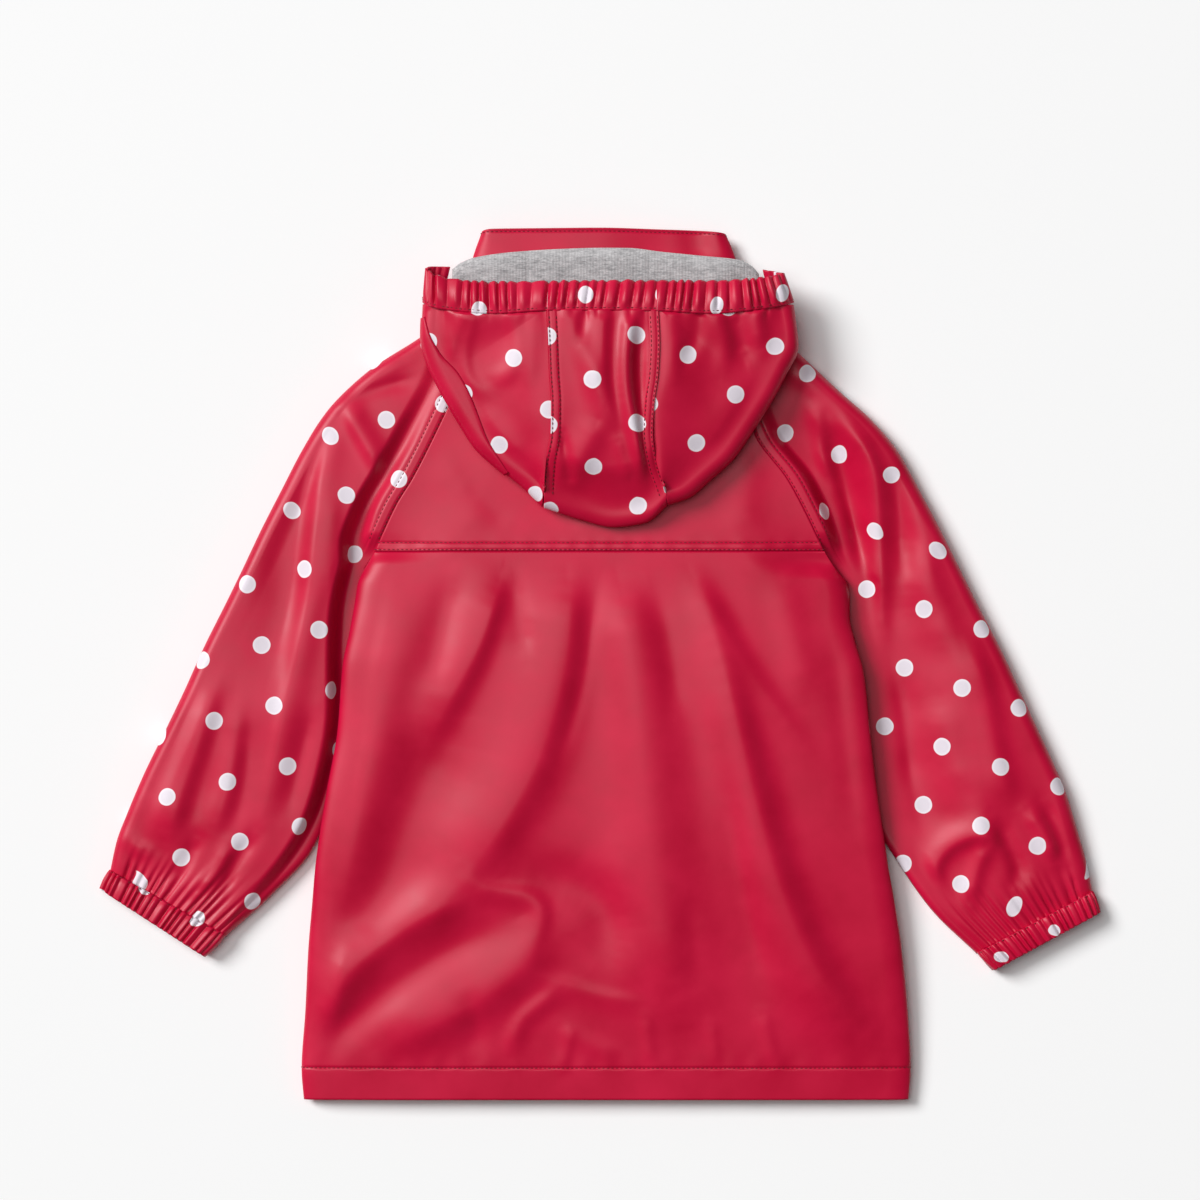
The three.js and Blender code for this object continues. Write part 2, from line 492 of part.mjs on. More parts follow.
function backYoke(u, v) {
  const top = NECK_Y - BACK_NECK_DROP * neckCurve(u);
  const edgeY = lerp(YOKE_SEAM_Y, NECK_Y, v);
  const y = lerp(YOKE_SEAM_Y, top, v);
  const left = sideX(LEFT, edgeY);
  const x = lerp(left, sideX(RIGHT, edgeY), u);
  const band = YOKE_BAND_RISE * (1 - smooth(y, YOKE_SEAM_Y + YOKE_BAND, YOKE_SEAM_Y + YOKE_BAND + 0.8));
  return vector(x, y, backHeight(x, edgeY) + SEAM_GAP / 2 + band);
}

const NECK_HALF = 74.2;
const frontNeckY = (x) => NECK_Y
  - FRONT_NECK_DROP * Math.sqrt(1 - Math.min(Math.abs(x) / NECK_HALF, 1) ** 2);

const LIFT_FROM = 17; // the raised edge of the front slopes down between these distances
const LIFT_TO = 40;
const LIFT_MORE = 18;
const OVERLAP_FLAT = 29; // half width of the flat stretch along the overlap
// The front panels lie under the back. The right one closes over the left, so it is the lower one here.
function frontPanel(half) {
  const overlapZ = half === RIGHT ? UNDER_Z : OVER_Z;
  return (u, v) => {
    const edgeY = lerp(HEM_Y, NECK_Y, v);
    const edgeX = sideX(half, edgeY);
    const inward = (edge) => (u < FRONT_ROUND_SHARE
      ? SIDE_ROUND * (1 - Math.cos((u / FRONT_ROUND_SHARE) * (Math.PI / 2)))
      : lerp(SIDE_ROUND, Math.abs(edge) + PLACKET, (u - FRONT_ROUND_SHARE) / (1 - FRONT_ROUND_SHARE)));
    const neckEdge = sideX(half, NECK_Y);
    const y = lerp(HEM_Y, frontNeckY(neckEdge - half.sign * inward(neckEdge)), v);
    const distance = inward(edgeX);
    const x = edgeX - half.sign * distance;
    const lift = sideLift(half, edgeY);
    const folded = foldedSide(half, edgeY);
    const edgeZ = lerp(lift, sideZ(half, edgeY) - SEAM_GAP, folded);
    const under = lift * (1 - smooth(distance, LIFT_FROM * folded, LIFT_TO + LIFT_MORE * folded));
    const turn = (edgeZ - lift) * (1 - quarter(distance / SIDE_ROUND));
    const overlap = overlapZ * (1 - smooth(Math.abs(x), OVERLAP_FLAT, 2 * OVERLAP_FLAT - PLACKET)
      * (x * half.sign > 0 ? 1 : 0));
    return vector(x, y, under + turn + overlap);
  };
}

// Sleeves. Each is two solids, which meet along the outer fold, so that the arm's way stays open.

function sleeveStation(half, t) {
  const k = t * (half.sleeve.length - 1);
  const read = (column) => lookUp(half.sleeve, 'k', k, column);
  const station = { k, outer: [read('outerX'), read('outerY')], trough: read('trough'), crown: read('crown'),
    strip: read('strip') };
  const innerY = read('innerY');
  if (k < ARMPIT_STATION) {
    const sink = smooth(k, ARMPIT_STATION - 1.1, ARMPIT_STATION);
    const edge = lookUp(half.sleeve, 'k', ARMPIT_STATION, 'edge');
    station.inner = [sideX(half, innerY) + half.sign * SEAM_GAP, innerY];
    station.top = lerp(sideZ(half, innerY), edge + UNDERARM_GAP, sink);
    station.bottom = lerp(sideLift(half, innerY), edge - UNDERARM_GAP - ARMPIT_DROP, sink);
    station.folded = sink;
  } else {
    const edge = read('edge');
    station.inner = [read('innerX'), innerY];
    station.top = edge + UNDERARM_GAP;
    station.bottom = edge - UNDERARM_GAP
      - ARMPIT_DROP * (1 - smooth(k, ARMPIT_STATION + 1, ARMPIT_STATION + 2));
    station.folded = 1;
  }
  return station;
}

// A point of the sleeve round its section: v runs over the top, round the outer fold and back below.
const AROUND = 17; // columns round a sleeve
const TOP_SHARE = 8 / AROUND;
const TURN_SHARE = 4 / AROUND;
const FOLD_COLUMN = 10;
const FOLD_GAP = 0.0014; // half the gap between the two solids, as a share of the way round
const SLEEVE_LAYERS = {
  top: [...steps(AROUND).slice(0, FOLD_COLUMN), FOLD_COLUMN / AROUND - FOLD_GAP],
  under: [FOLD_COLUMN / AROUND + FOLD_GAP, ...steps(AROUND).slice(FOLD_COLUMN + 1)],
};
const UNDERARM_ROUND = 6;
const SLEEVE_TURN = 9; // half the length of the outer fold, seen from above
const STRIP_SLOPE = 9; // from the strip beside the seam down to the trough
const CROWN_SLOPE = 34; // from the trough up to the crown
const FOLD_CLEAR = 22; // folds fade out this close to the seam and the outer fold
const PUCKERS = 11; // folds that the cuff's gathers push up the sleeve
const PUCKER_START = 12.8;
const PUCKER_HEIGHT = 1.1;
function sectionPoint(station, v, topAt) {
  const [ix, iy] = station.inner;
  const [ox, oy] = station.outer;
  const length = Math.hypot(ox - ix, oy - iy);
  const turn = Math.min(SLEEVE_TURN, length * 0.35);
  const flat = length - turn;
  const rise = (e) => station.folded * quarter(e / UNDERARM_ROUND)
    + (1 - station.folded) * smooth(e, 0, 35);
  const bottomAt = (e) => station.bottom * (1 - rise(e));
  const bend = 0.07;
  let e = 0;
  let z = 0;
  if (v < TOP_SHARE) {
    const q = v / TOP_SHARE;
    e = flat * (q * (1 - bend) + bend * q * q);
    z = topAt(e);
  } else if (v < TOP_SHARE + TURN_SHARE) {
    const angle = (Math.PI * (v - TOP_SHARE)) / TURN_SHARE;
    const high = topAt(flat);
    const low = bottomAt(flat);
    e = flat + turn * Math.sin(angle);
    z = (high + low) / 2 + ((high - low) / 2) * Math.cos(angle);
  } else {
    const q = (1 - v) / (1 - TOP_SHARE - TURN_SHARE);
    e = flat * (q * (1 - bend) + bend * q * q);
    z = bottomAt(e);
  }
  return vector(lerp(ix, ox, e / length), lerp(iy, oy, e / length), z);
}

function sleeveSurface(half, t, v) {
  const station = sleeveStation(half, t);
  const [ix, iy] = station.inner;
  const [ox, oy] = station.outer;
  const length = Math.hypot(ox - ix, oy - iy);
  const puckers = smooth(station.k, PUCKER_START, half.sleeve.length - 1) * PUCKER_HEIGHT;
  const topAt = (e) => {
    const stepEnd = station.strip + STRIP_SLOPE;
    const open = smooth(e, station.strip, stepEnd);
    const leave = lerp(open, quarter(e / UNDERARM_ROUND), station.folded);
    const high = smooth(e, stepEnd, Math.min(stepEnd + CROWN_SLOPE, length * 0.7));
    const x = lerp(ix, ox, e / length);
    const y = lerp(iy, oy, e / length);
    const clear = smooth(e, station.strip + STRIP_SLOPE, station.strip + FOLD_CLEAR)
      * (1 - smooth(e, length - FOLD_CLEAR, length));
    return lerp(station.top, station.trough, leave) + (station.crown - station.trough) * high
      + foldHeight(half.folds, x, y) * clear
      + puckers * Math.sin((e / length) * Math.PI * PUCKERS) * smooth(e, 0, 12);
  };
  return sectionPoint(station, v, topAt);
}

// The right sleeve runs the other way round, so that both outer faces look out.
const sleeve = (half) => (u, v) => sleeveSurface(half, v, half === LEFT ? u : 1 - u);

function cuffStation(half, t) {
  const end = sleeveStation(half, 1);
  const edge = half.cuff;
  const away = vector(edge.outerX - end.outer[0], edge.outerY - end.outer[1], 0).normalize();
  const between = ([x, y], toX, toY) => [
    lerp(x + away.x * CUFF_LEAD, toX, t),
    lerp(y + away.y * CUFF_LEAD, toY, t),
  ];
  return {
    inner: between(end.inner, edge.innerX, edge.innerY),
    outer: between(end.outer, edge.outerX, edge.outerY),
    top: end.top,
    bottom: end.bottom,
    folded: 1,
  };
}

function gathered(surface, ripple) {
  const EPSILON = 1e-3;
  return (u, v) => {
    const alongU = surface(Math.min(u + EPSILON, 1), v).sub(surface(Math.max(u - EPSILON, 0), v));
    const alongV = surface(u, Math.min(v + EPSILON, 1)).sub(surface(u, Math.max(v - EPSILON, 0)));
    return surface(u, v).addScaledVector(alongU.cross(alongV).normalize(), ripple(u, v));
  };
}

function cuff(half) {
  const plain = (u, v) => {
    const station = cuffStation(half, v);
    const around = half === LEFT ? u : 1 - u;
    const topAt = (e) => lerp(station.top, 12.5, quarter(e / UNDERARM_ROUND));
    const point = sectionPoint(station, around, topAt);
    point.z += CUFF_GATHER_DEPTH;
    return point;
  };
  const ripple = (u, v) => CUFF_GATHER_DEPTH * (0.25 + 0.75 * Math.sin(Math.PI * Math.min(v + 0.25, 1)))
    * Math.sin(2 * Math.PI * CUFF_GATHERS * u);
  return gathered(plain, ripple);
}

// Hood

const HOOD_NEAR_SHARE = 0.4; // of a side panel's section: the near layer, the rolled rim and the far layer
const HOOD_TURN_SHARE = 0.25;
const HOOD_FAR_SHARE = 0.35;
function hoodSection(row, v) {
  const length = Math.hypot(row.rimX - row.nearX, row.rimY - row.nearY);
  const turn = Math.min(HOOD_ROLL, length * 0.55);
  const flat = length - turn;
  const farLength = Math.hypot(row.rimX - row.farX, row.rimY - row.farY);
  const farFlat = farLength - turn;
  const topAt = (e) => {
    const x = lerp(row.nearX, row.rimX, e / length);
    const y = lerp(row.nearY, row.rimY, e / length);
    return lerp(row.nearZ, HOOD_RIM_TOP, smooth(e, 0, flat)) + foldHeight(HOOD_FOLDS, x, y)
      * smooth(flat - e, 0, 12);
  };
  const middle = (HOOD_RIM_TOP + HOOD_FAR_Z) / 2;
  const half = (HOOD_RIM_TOP - HOOD_FAR_Z) / 2;
  if (v < HOOD_NEAR_SHARE) {
    const e = (v / HOOD_NEAR_SHARE) * flat;
    return vector(lerp(row.nearX, row.rimX, e / length), lerp(row.nearY, row.rimY, e / length), topAt(e));
  }
  const near = vector(row.nearX, row.nearY, 0);
  const rim = vector(row.rimX, row.rimY, 0);
  const far = vector(row.farX, row.farY, 0);
  const nearFlat = near.clone().lerp(rim, flat / length);
  const farEnd = far.clone().lerp(rim, farFlat / farLength);
  if (v < HOOD_NEAR_SHARE + HOOD_TURN_SHARE) {
    const angle = (Math.PI * (v - HOOD_NEAR_SHARE)) / HOOD_TURN_SHARE;
    const base = nearFlat.clone().lerp(farEnd, (1 - Math.cos(angle)) / 2);
    base.lerp(rim, Math.sin(angle));
    base.z = middle + half * Math.cos(angle);
    return base;
  }
  const point = farEnd.lerp(far, (v - HOOD_NEAR_SHARE - HOOD_TURN_SHARE) / HOOD_FAR_SHARE);
  point.z = HOOD_FAR_Z;
  return point;
}

const seamX = (y, side) => lookUp(HOOD_SEAMS, 'y', y, side);
const farSeamX = (y, side) => lerp(HOOD_ROLLED_SEAM[side], HOOD_FAR_SEAM[side], smooth(y, 112, 150));

function hoodSide(half) {
  const table = half === LEFT ? HOOD_LEFT : HOOD_RIGHT;
  const columns = ['nearX', 'nearY', 'rimX', 'rimY', 'farY', 'nearZ'];
  return (u, v) => {
    const k = (half === LEFT ? 1 - v : v) * (table.length - 1);
    const row = Object.fromEntries(columns.map((column) => [column, lookUp(table, 'k', k, column)]));
    if (k <= HOOD_CORNER) {
      row.nearX = seamX(row.nearY, half.name) + half.sign * SEAM_GAP;
      row.nearZ = lookUp(HOOD_SEAM_HEIGHT, 'y', row.nearY, 'z');
      row.farX = farSeamX(row.farY, half.name) + half.sign * SEAM_GAP * 0.6;
    } else {
      row.farX = lookUp(table.slice(HOOD_CORNER), 'k', k, 'farX');
    }
    return hoodSection(row, u);
  };
}

const NEAR_SHARE = 0.45; // of the centre panel's length, then the share of its rolled rim
const ROLL_SHARE = 0.17;
const MOUTH_SEAM_Y = 234.3;
function hoodCentre(u, v) {
  const rimY = lookUp(HOOD_BOTTOM, 'f', u, 'y');
  const nearX = (y) => lerp(seamX(y, 'left') + SEAM_GAP * 0.6, seamX(y, 'right') - SEAM_GAP * 0.6, u);
  const farX = (y) => lerp(farSeamX(y, 'left') + SEAM_GAP * 0.6, farSeamX(y, 'right') - SEAM_GAP * 0.6, u);
  const flatY = rimY + HOOD_ROLL;
  const middle = (HOOD_RIM_TOP + HOOD_FAR_Z) / 2;
  const half = (HOOD_RIM_TOP - HOOD_FAR_Z) / 2;
  if (v < NEAR_SHARE) {
    const y = lerp(MOUTH_SEAM_Y, flatY, v / NEAR_SHARE);
    const x = nearX(y);
    const seam = lookUp(HOOD_SEAM_HEIGHT, 'y', y, 'z');
    const sink = smooth(flatY + 26 - y, 0, 26);
    const clear = smooth(y - flatY, 0, 14) * smooth(Math.min(u, 1 - u), 0, 0.12);
    return vector(x, y, lerp(seam, HOOD_RIM_TOP, sink) + foldHeight(HOOD_FOLDS, x, y) * clear);
  }
  if (v < NEAR_SHARE + ROLL_SHARE) {
    const angle = (Math.PI * (v - NEAR_SHARE)) / ROLL_SHARE;
    const turned = (1 - Math.cos(angle)) / 2;
    return vector(lerp(nearX(flatY), farX(flatY), turned), flatY - HOOD_ROLL * Math.sin(angle),
      middle + half * Math.cos(angle));
  }
  const y = lerp(flatY, HOOD_FAR_TOP, (v - NEAR_SHARE - ROLL_SHARE) / (1 - NEAR_SHARE - ROLL_SHARE));
  return vector(farX(y), y, HOOD_FAR_Z);
}

function mouthCasing(u, v) {
  const k = u * (MOUTH_CASING.length - 1);
  const read = (column) => lookUp(MOUTH_CASING, 'k', k, column);
  const swell = 2.2 * Math.sin(Math.PI * v);
  return vector(lerp(read('stitchX'), read('edgeX'), v), lerp(read('stitchY'), read('edgeY'), v),
    lerp(read('stitchZ'), read('edgeZ'), v) + swell * smooth(read('stitchZ'), 30, 40));
}

const LINING_IN_SHARE = 0.4; // of the lining's length: inside the hood, then round the roll, then to the neck
const LINING_ROLL_SHARE = 0.35;
const LINING_DEEP = { left: -60, right: 62, z: 24.8 };
const LINING_FOOT = { left: -70, right: 72 };
const LINING_HIGH = { side: 27, middle: 30.5 };
const LINING_LOW_Z = 17.3;
function hoodLining(u, v) {
  const x = lerp(LINING_TOP[0].x, LINING_TOP[LINING_TOP.length - 1].x, u);
  const rollY = lookUp(LINING_TOP, 'x', x, 'y') - LINING_ROLL;
  const edge = smooth(Math.min(u, 1 - u), 0, 0.12);
  const high = lerp(LINING_HIGH.side, LINING_HIGH.middle, edge);
  if (v < LINING_IN_SHARE) {
    const t = v / LINING_IN_SHARE;
    return vector(lerp(lerp(LINING_DEEP.left, LINING_DEEP.right, u), x, t), lerp(LINING_DEEP_Y, rollY, t),
      lerp(LINING_DEEP.z, high, smooth(t, 0.25, 1)));
  }
  if (v < LINING_IN_SHARE + LINING_ROLL_SHARE) {
    const angle = (Math.PI * (v - LINING_IN_SHARE)) / LINING_ROLL_SHARE;
    const middle = (high + LINING_LOW_Z) / 2;
    return vector(x, rollY + LINING_ROLL * Math.sin(angle), middle + (high - middle) * Math.cos(angle));
  }
  const t = (v - LINING_IN_SHARE - LINING_ROLL_SHARE) / (1 - LINING_IN_SHARE - LINING_ROLL_SHARE);
  return vector(lerp(x, lerp(LINING_FOOT.left, LINING_FOOT.right, u), t),
    lerp(rollY, LINING_NECK_Y + 1.5 * (1 - edge), t), lerp(LINING_LOW_Z, LINING_SEAT_Z, smooth(t, 0.2, 1)));
}

function standCollar(u, v) {
  const k = u * (COLLAR.length - 1);
  const read = (column) => lookUp(COLLAR, 'k', k, column);
  const inFront = k < COLLAR_FRONT_END || k > COLLAR.length - 1 - COLLAR_FRONT_END;
  const baseY = inFront ? frontNeckY(read('baseX')) + SEAM_GAP * 2 : read('baseY');
  const point = vector(lerp(read('baseX'), read('topX'), v), lerp(baseY, read('topY'), v),
    lerp(read('baseZ'), read('topZ'), v));
  const side = smooth(Math.abs(point.x), 70, 84);
  point.x += Math.sign(point.x) * COLLAR_BULGE * side * Math.sin(Math.PI * v);
  point.y += SEAM_GAP * (1 - v) * smooth(Math.abs(point.x), 60, 72);
  return point;
}

// The plain strip along the lower left of the hood lies on the left panel, moved out of it.
const STRIP_RISE = 1.6;
const STRIP_FROM = { u: 0.33, v: 0.1 };
const STRIP_TO = { u: 0.5, v: 0.8 };
function neckStrip(u, v) {
  const EPSILON = 1e-3;
  const panel = hoodSide(LEFT);
  const pu = lerp(STRIP_FROM.u, STRIP_TO.u, u);
  const pv = lerp(STRIP_FROM.v, STRIP_TO.v, v);
  const alongU = panel(pu + EPSILON, pv).sub(panel(pu - EPSILON, pv));
  const alongV = panel(pu, pv + EPSILON).sub(panel(pu, pv - EPSILON));
  return panel(pu, pv).addScaledVector(alongU.cross(alongV).normalize(), STRIP_RISE);
}

// Assembly

const jacket = new THREE.Group();

function addPiece(name, geometry, material) {
  const mesh = new THREE.Mesh(geometry, material);
  mesh.name = name;
  jacket.add(mesh);
}

const bodyLength = YOKE_SEAM_Y - HEM_Y;
const share = (y, from, to) => (y - from) / (to - from);
const hemRows = [HEM_Y, HEM_Y + HEM_DEPTH - 1, HEM_Y + HEM_DEPTH];
const bodyRows = [...hemRows, -250, -230, -210, -190, -170, -152, -135, -115, -95, -75, -55, -35, -15, 5, 22,
  38, 46, 54, 64, YOKE_SEAM_Y - SEAM_GAP].map((y) => share(y, HEM_Y, YOKE_SEAM_Y - SEAM_GAP));
const yokeRows = [YOKE_SEAM_Y, YOKE_SEAM_Y + YOKE_BAND, YOKE_SEAM_Y + YOKE_BAND + 1, ...RAGLAN_ROWS]
  .map((y) => share(y, YOKE_SEAM_Y, NECK_Y));
addPiece('back_body', clothWall(backBody, steps(22), bodyRows, (u, v) => hemWall(v, bodyLength)), CLOTH_RED);
addPiece('back_yoke', clothWall(backYoke, steps(12), yokeRows, CLOTH), CLOTH_RED);

for (const half of [LEFT, RIGHT]) {
  const front = frontPanel(half);
  const frontSurface = half === LEFT ? (u, v) => front(1 - u, v) : front;
  const frontWall = (u, v) => hemWall(v, NECK_Y - HEM_Y);
  const halfway = sleeveStation(half, (ARMPIT_STATION - 0.5) / (half.sleeve.length - 1)).inner[1];
  const frontRows = [...hemRows, -230, -185, -160, -135, -115, -75, -35, 5, 30, 44, half.armpit, halfway,
    ...RAGLAN_ROWS].map((y) => share(y, HEM_Y, NECK_Y));
  addPiece(`front_${half.name}`, clothWall(frontSurface, steps(16), frontRows, frontWall), CLOTH_RED);
  const sleeveRows = SLEEVE_ROWS.map((k) => k / (half.sleeve.length - 1));
  for (const [layer, columns] of Object.entries(SLEEVE_LAYERS)) {
    const facing = half === LEFT ? columns : columns.map((u) => 1 - u).reverse();
    const geometry = clothWall(sleeve(half), facing, sleeveRows, CLOTH);
    addPiece(`sleeve_${half.name}_${layer}`, geometry, CLOTH_DOTTED);
  }
  addPiece(`cuff_${half.name}`, clothWall(cuff(half), steps(CUFF_GATHERS * 3), [0, 0.5, 1], CASING_CLOTH),
    CLOTH_DOTTED);
  addPiece(`hood_${half.name}`, clothWall(hoodSide(half), steps(14), steps(HOOD_LEFT.length - 1), CLOTH),
    CLOTH_DOTTED);
}

const centreFlatY = HOOD_BOTTOM[0].y + HOOD_ROLL;
const seamRows = HOOD_LEFT.slice(0, HOOD_CORNER + 1); // points that the panels share at their seams
const centreRows = [
  ...seamRows.map((row) => NEAR_SHARE * share(row.nearY, MOUTH_SEAM_Y, centreFlatY)).reverse(),
  ...steps(4).map((t) => NEAR_SHARE + ROLL_SHARE * t),
  ...seamRows.map((row) => NEAR_SHARE + ROLL_SHARE
    + (1 - NEAR_SHARE - ROLL_SHARE) * share(row.farY, centreFlatY, HOOD_FAR_TOP)),
];
addPiece('hood_centre', clothWall((u, v) => hoodCentre(1 - u, v), steps(8), centreRows, CLOTH), CLOTH_DOTTED);
const mouthRipple = (u, v) => MOUTH_GATHER_DEPTH * (0.3 + 0.7 * Math.min(1, v * 2))
  * Math.sin(2 * Math.PI * MOUTH_GATHERS * u);
addPiece('hood_mouth_casing', clothWall(gathered(mouthCasing, mouthRipple), steps(MOUTH_GATHERS * 3),
  [0, 0.5, 1], CASING_CLOTH), CLOTH_DOTTED);
addPiece('hood_neck_strip', clothWall(neckStrip, steps(5), steps(10), CLOTH - SEAM_GAP), CLOTH_RED);
addPiece('hood_lining', clothWall(hoodLining, steps(12), steps(14), CLOTH), JERSEY_GREY);
addPiece('stand_collar', clothWall(standCollar, steps(32), steps(4), CLOTH + HEM_EXTRA), CLOTH_RED);

STUD_ROWS.forEach((y, index) => {
  const geometry = new THREE.CylinderGeometry(STUD_RADIUS, STUD_RADIUS - 1, STUD_HEIGHT, 20);
  geometry.rotateX(Math.PI / 2);
  const stud = new THREE.Mesh(geometry, STUD_METAL);
  stud.name = `press_stud_${index + 1}`;
  stud.position.set(0, y, STUD_HEIGHT / 2);
  jacket.add(stud);
});

export default jacket;
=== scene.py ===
# %% [markdown]
# # A child's rain jacket, laid flat with its back up
# The jacket is sewn from coated cloth: a plain red back with a yoke, dotted raglan sleeves and a
# dotted hood that is folded back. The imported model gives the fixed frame. Each piece of cloth is
# rebuilt here as a fine thin shell on the form of its solid, because cloth shows its folds, seams
# and gathers, which a plain solid doesn't have. All sizes are millimetres until a mesh is made.

import bpy
import numpy as np
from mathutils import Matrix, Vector


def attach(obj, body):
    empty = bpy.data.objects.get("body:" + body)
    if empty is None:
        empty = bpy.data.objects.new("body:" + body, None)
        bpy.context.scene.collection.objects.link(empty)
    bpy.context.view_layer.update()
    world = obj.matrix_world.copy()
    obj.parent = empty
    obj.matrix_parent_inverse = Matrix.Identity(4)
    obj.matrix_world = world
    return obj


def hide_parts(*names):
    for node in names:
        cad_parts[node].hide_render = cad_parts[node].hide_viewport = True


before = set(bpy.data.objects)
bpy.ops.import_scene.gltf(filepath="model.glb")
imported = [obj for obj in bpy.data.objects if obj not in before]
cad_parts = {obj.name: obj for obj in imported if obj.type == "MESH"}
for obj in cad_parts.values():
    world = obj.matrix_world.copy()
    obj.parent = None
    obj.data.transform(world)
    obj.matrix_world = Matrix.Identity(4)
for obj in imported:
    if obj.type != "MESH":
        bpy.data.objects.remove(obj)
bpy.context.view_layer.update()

# %% [markdown]
# ## Driving sizes
# A cutter works from a few sizes: where the hem, the yoke seam and the neck lie, how wide a
# casing is, and how thick the cloth is. Everything below is worked out from them.

# %% Driving sizes
MM = 0.001
CLOTH = 1.0
CASING_CLOTH = 2.0
SEAM_GAP = 0.3
HEM_Y = -290.7
HEM_DEPTH = 20
HEM_EXTRA = 0.7
HEM_STITCH_Y = -269.2
YOKE_SEAM_Y = 75.4
YOKE_BAND = 5
YOKE_BAND_RISE = 0.6
NECK_Y = 236
BACK_NECK_DROP = 5.5
FRONT_NECK_DROP = 46
SIDE_ROUND = 15
ARMPIT_FADE = 16
STITCH_PITCH = 3.0
FULL_TURN = 2 * np.pi


def smooth(value, low, high):
    t = np.clip((value - low) / (high - low), 0, 1)
    return t * t * (3 - 2 * t)


def quarter(t):
    return np.sqrt(1 - (1 - np.clip(t, 0, 1)) ** 2)


def lerp(a, b, t):
    return a + (b - a) * t


print("the jacket is", NECK_Y - HEM_Y, "mm from hem to neck seam")

# %% [markdown]
# ## Reading a shape from a short table
# A pattern is drawn through a few measured points. A smooth curve through each column of a short
# table gives the line between them. The curve is monotone between rows, so it never swings past
# a measured point, as a plain spline would.


# %% Tables and curves
def table(columns, *rows):
    return {name: np.array([row[i] for row in rows], float) for i, name in enumerate(columns.split())}


def look_up(source, key, at, column):
    keys = source[key]
    values = source[column]
    at = np.clip(at, keys[0], keys[-1])
    step = np.diff(keys)
    slope = np.diff(values) / step
    tangent = np.zeros(len(keys))
    tangent[0] = slope[0]
    tangent[-1] = slope[-1]
    before = slope[:-1]
    after = slope[1:]
    same_way = before * after > 0
    total = np.where(same_way, before + after, 1)
    tangent[1:-1] = np.where(same_way, 2 * before * after / total, 0)
    row = np.clip(np.searchsorted(keys, at) - 1, 0, len(keys) - 2)
    width = step[row]
    t = (at - keys[row]) / width
    return (
        (2 * t**3 - 3 * t**2 + 1) * values[row]
        + (t**3 - 2 * t**2 + t) * width * tangent[row]
        + (3 * t**2 - 2 * t**3) * values[row + 1]
        + (t**3 - t**2) * width * tangent[row + 1]
    )


# %% [markdown]
# ## Folds
# A fold of laid cloth is a soft ridge or trough along a path. Its two sides differ: one slopes
# gently and the other falls steeply, which is what makes one side bright and the other dark.
# Each fold is listed with its path, the width of each side and its height. A width can
# be a pair, for the start and the end of the path. Each fold fades in and out along its path.


# %% Folds
PATH_BLEND = 6
FOLD_REACH = 2.8
FAR_AWAY = 1e9
LEAST_WEIGHT = 1e-200
WAVE_COUNT = 6
WAVE_LENGTHS = (0.7, 1.5)
GATHER_DRIFT = ((5, 0.007), (11, 0.003))
GATHER_STRENGTH = {"mean": 0.78, "change": 0.22, "waves": 7}
GATHER_BULGE = {"height": 2.1, "power": 0.8, "sunk": 1.25}
GATHER_SMALL = ((0.37, 0.18), (1.7, 0.12))


def rounded_path(path):
    """The path with its corners cut off twice, so that it bends softly."""
    path = np.array(path, float)
    for _ in range(2):
        near = path[:-1] * 0.75 + path[1:] * 0.25
        far = path[:-1] * 0.25 + path[1:] * 0.75
        path = np.concatenate([path[:1], np.stack([near, far], axis=1).reshape(-1, 2), path[-1:]])
    return path


def fold(path, left, right, height, fade=(0.3, 0.3)):
    """Left and right are seen by someone who walks along the path."""
    return {
        "path": rounded_path(path), "left": np.broadcast_to(left, 2), "right": np.broadcast_to(right, 2),
        "height": height, "fade": fade,
    }


def fold_height(folds, x, y):
    x, y = np.broadcast_arrays(x, y)
    total = np.zeros(x.shape)
    for crease in folds:
        path = crease["path"]
        reach = FOLD_REACH * max(*crease["left"], *crease["right"])
        low = path.min(axis=0) - reach
        high = path.max(axis=0) + reach
        close = (x > low[0]) & (x < high[0]) & (y > low[1]) & (y < high[1])
        if not close.any():
            continue
        px, py = x[close], y[close]
        steps = np.diff(path, axis=0)
        lengths = np.hypot(steps[:, 0], steps[:, 1])
        starts = np.concatenate([[0], np.cumsum(lengths)])
        nearest = np.full(px.shape, FAR_AWAY)
        weight, along, side = LEAST_WEIGHT, 0, 0
        for i, length in enumerate(lengths):
            dx, dy = steps[i] / length
            ax, ay = path[i]
            t = np.clip((px - ax) * dx + (py - ay) * dy, 0, length)
            distance = np.hypot(px - ax - dx * t, py - ay - dy * t)
            nearest = np.minimum(nearest, distance)
            share = np.exp(-distance / PATH_BLEND) * length
            weight = weight + share
            along = along + share * (starts[i] + t) / starts[-1]
            side = side + share * np.sign(dx * (py - ay) - dy * (px - ax))
        along = along / weight
        on_left = (1 + side / weight) / 2
        width = lerp(lerp(*crease["right"], along), lerp(*crease["left"], along), on_left)
        strength = smooth(along, 0, crease["fade"][0]) * (1 - smooth(along, 1 - crease["fade"][1], 1))
        total[close] += crease["height"] * strength * np.exp(-((nearest / width) ** 2))
    return total


def undulation(x, y, size, seed):
    """Slow uneven waves, about size millimetres long and from -1 to 1."""
    waves = np.random.default_rng(seed)
    total = 0
    for _ in range(WAVE_COUNT):
        angle = waves.uniform(0, FULL_TURN)
        length = size * waves.uniform(*WAVE_LENGTHS)
        phase = waves.uniform(0, FULL_TURN)
        total = total + np.sin(FULL_TURN * (x * np.cos(angle) + y * np.sin(angle)) / length + phase)
    return total / WAVE_COUNT


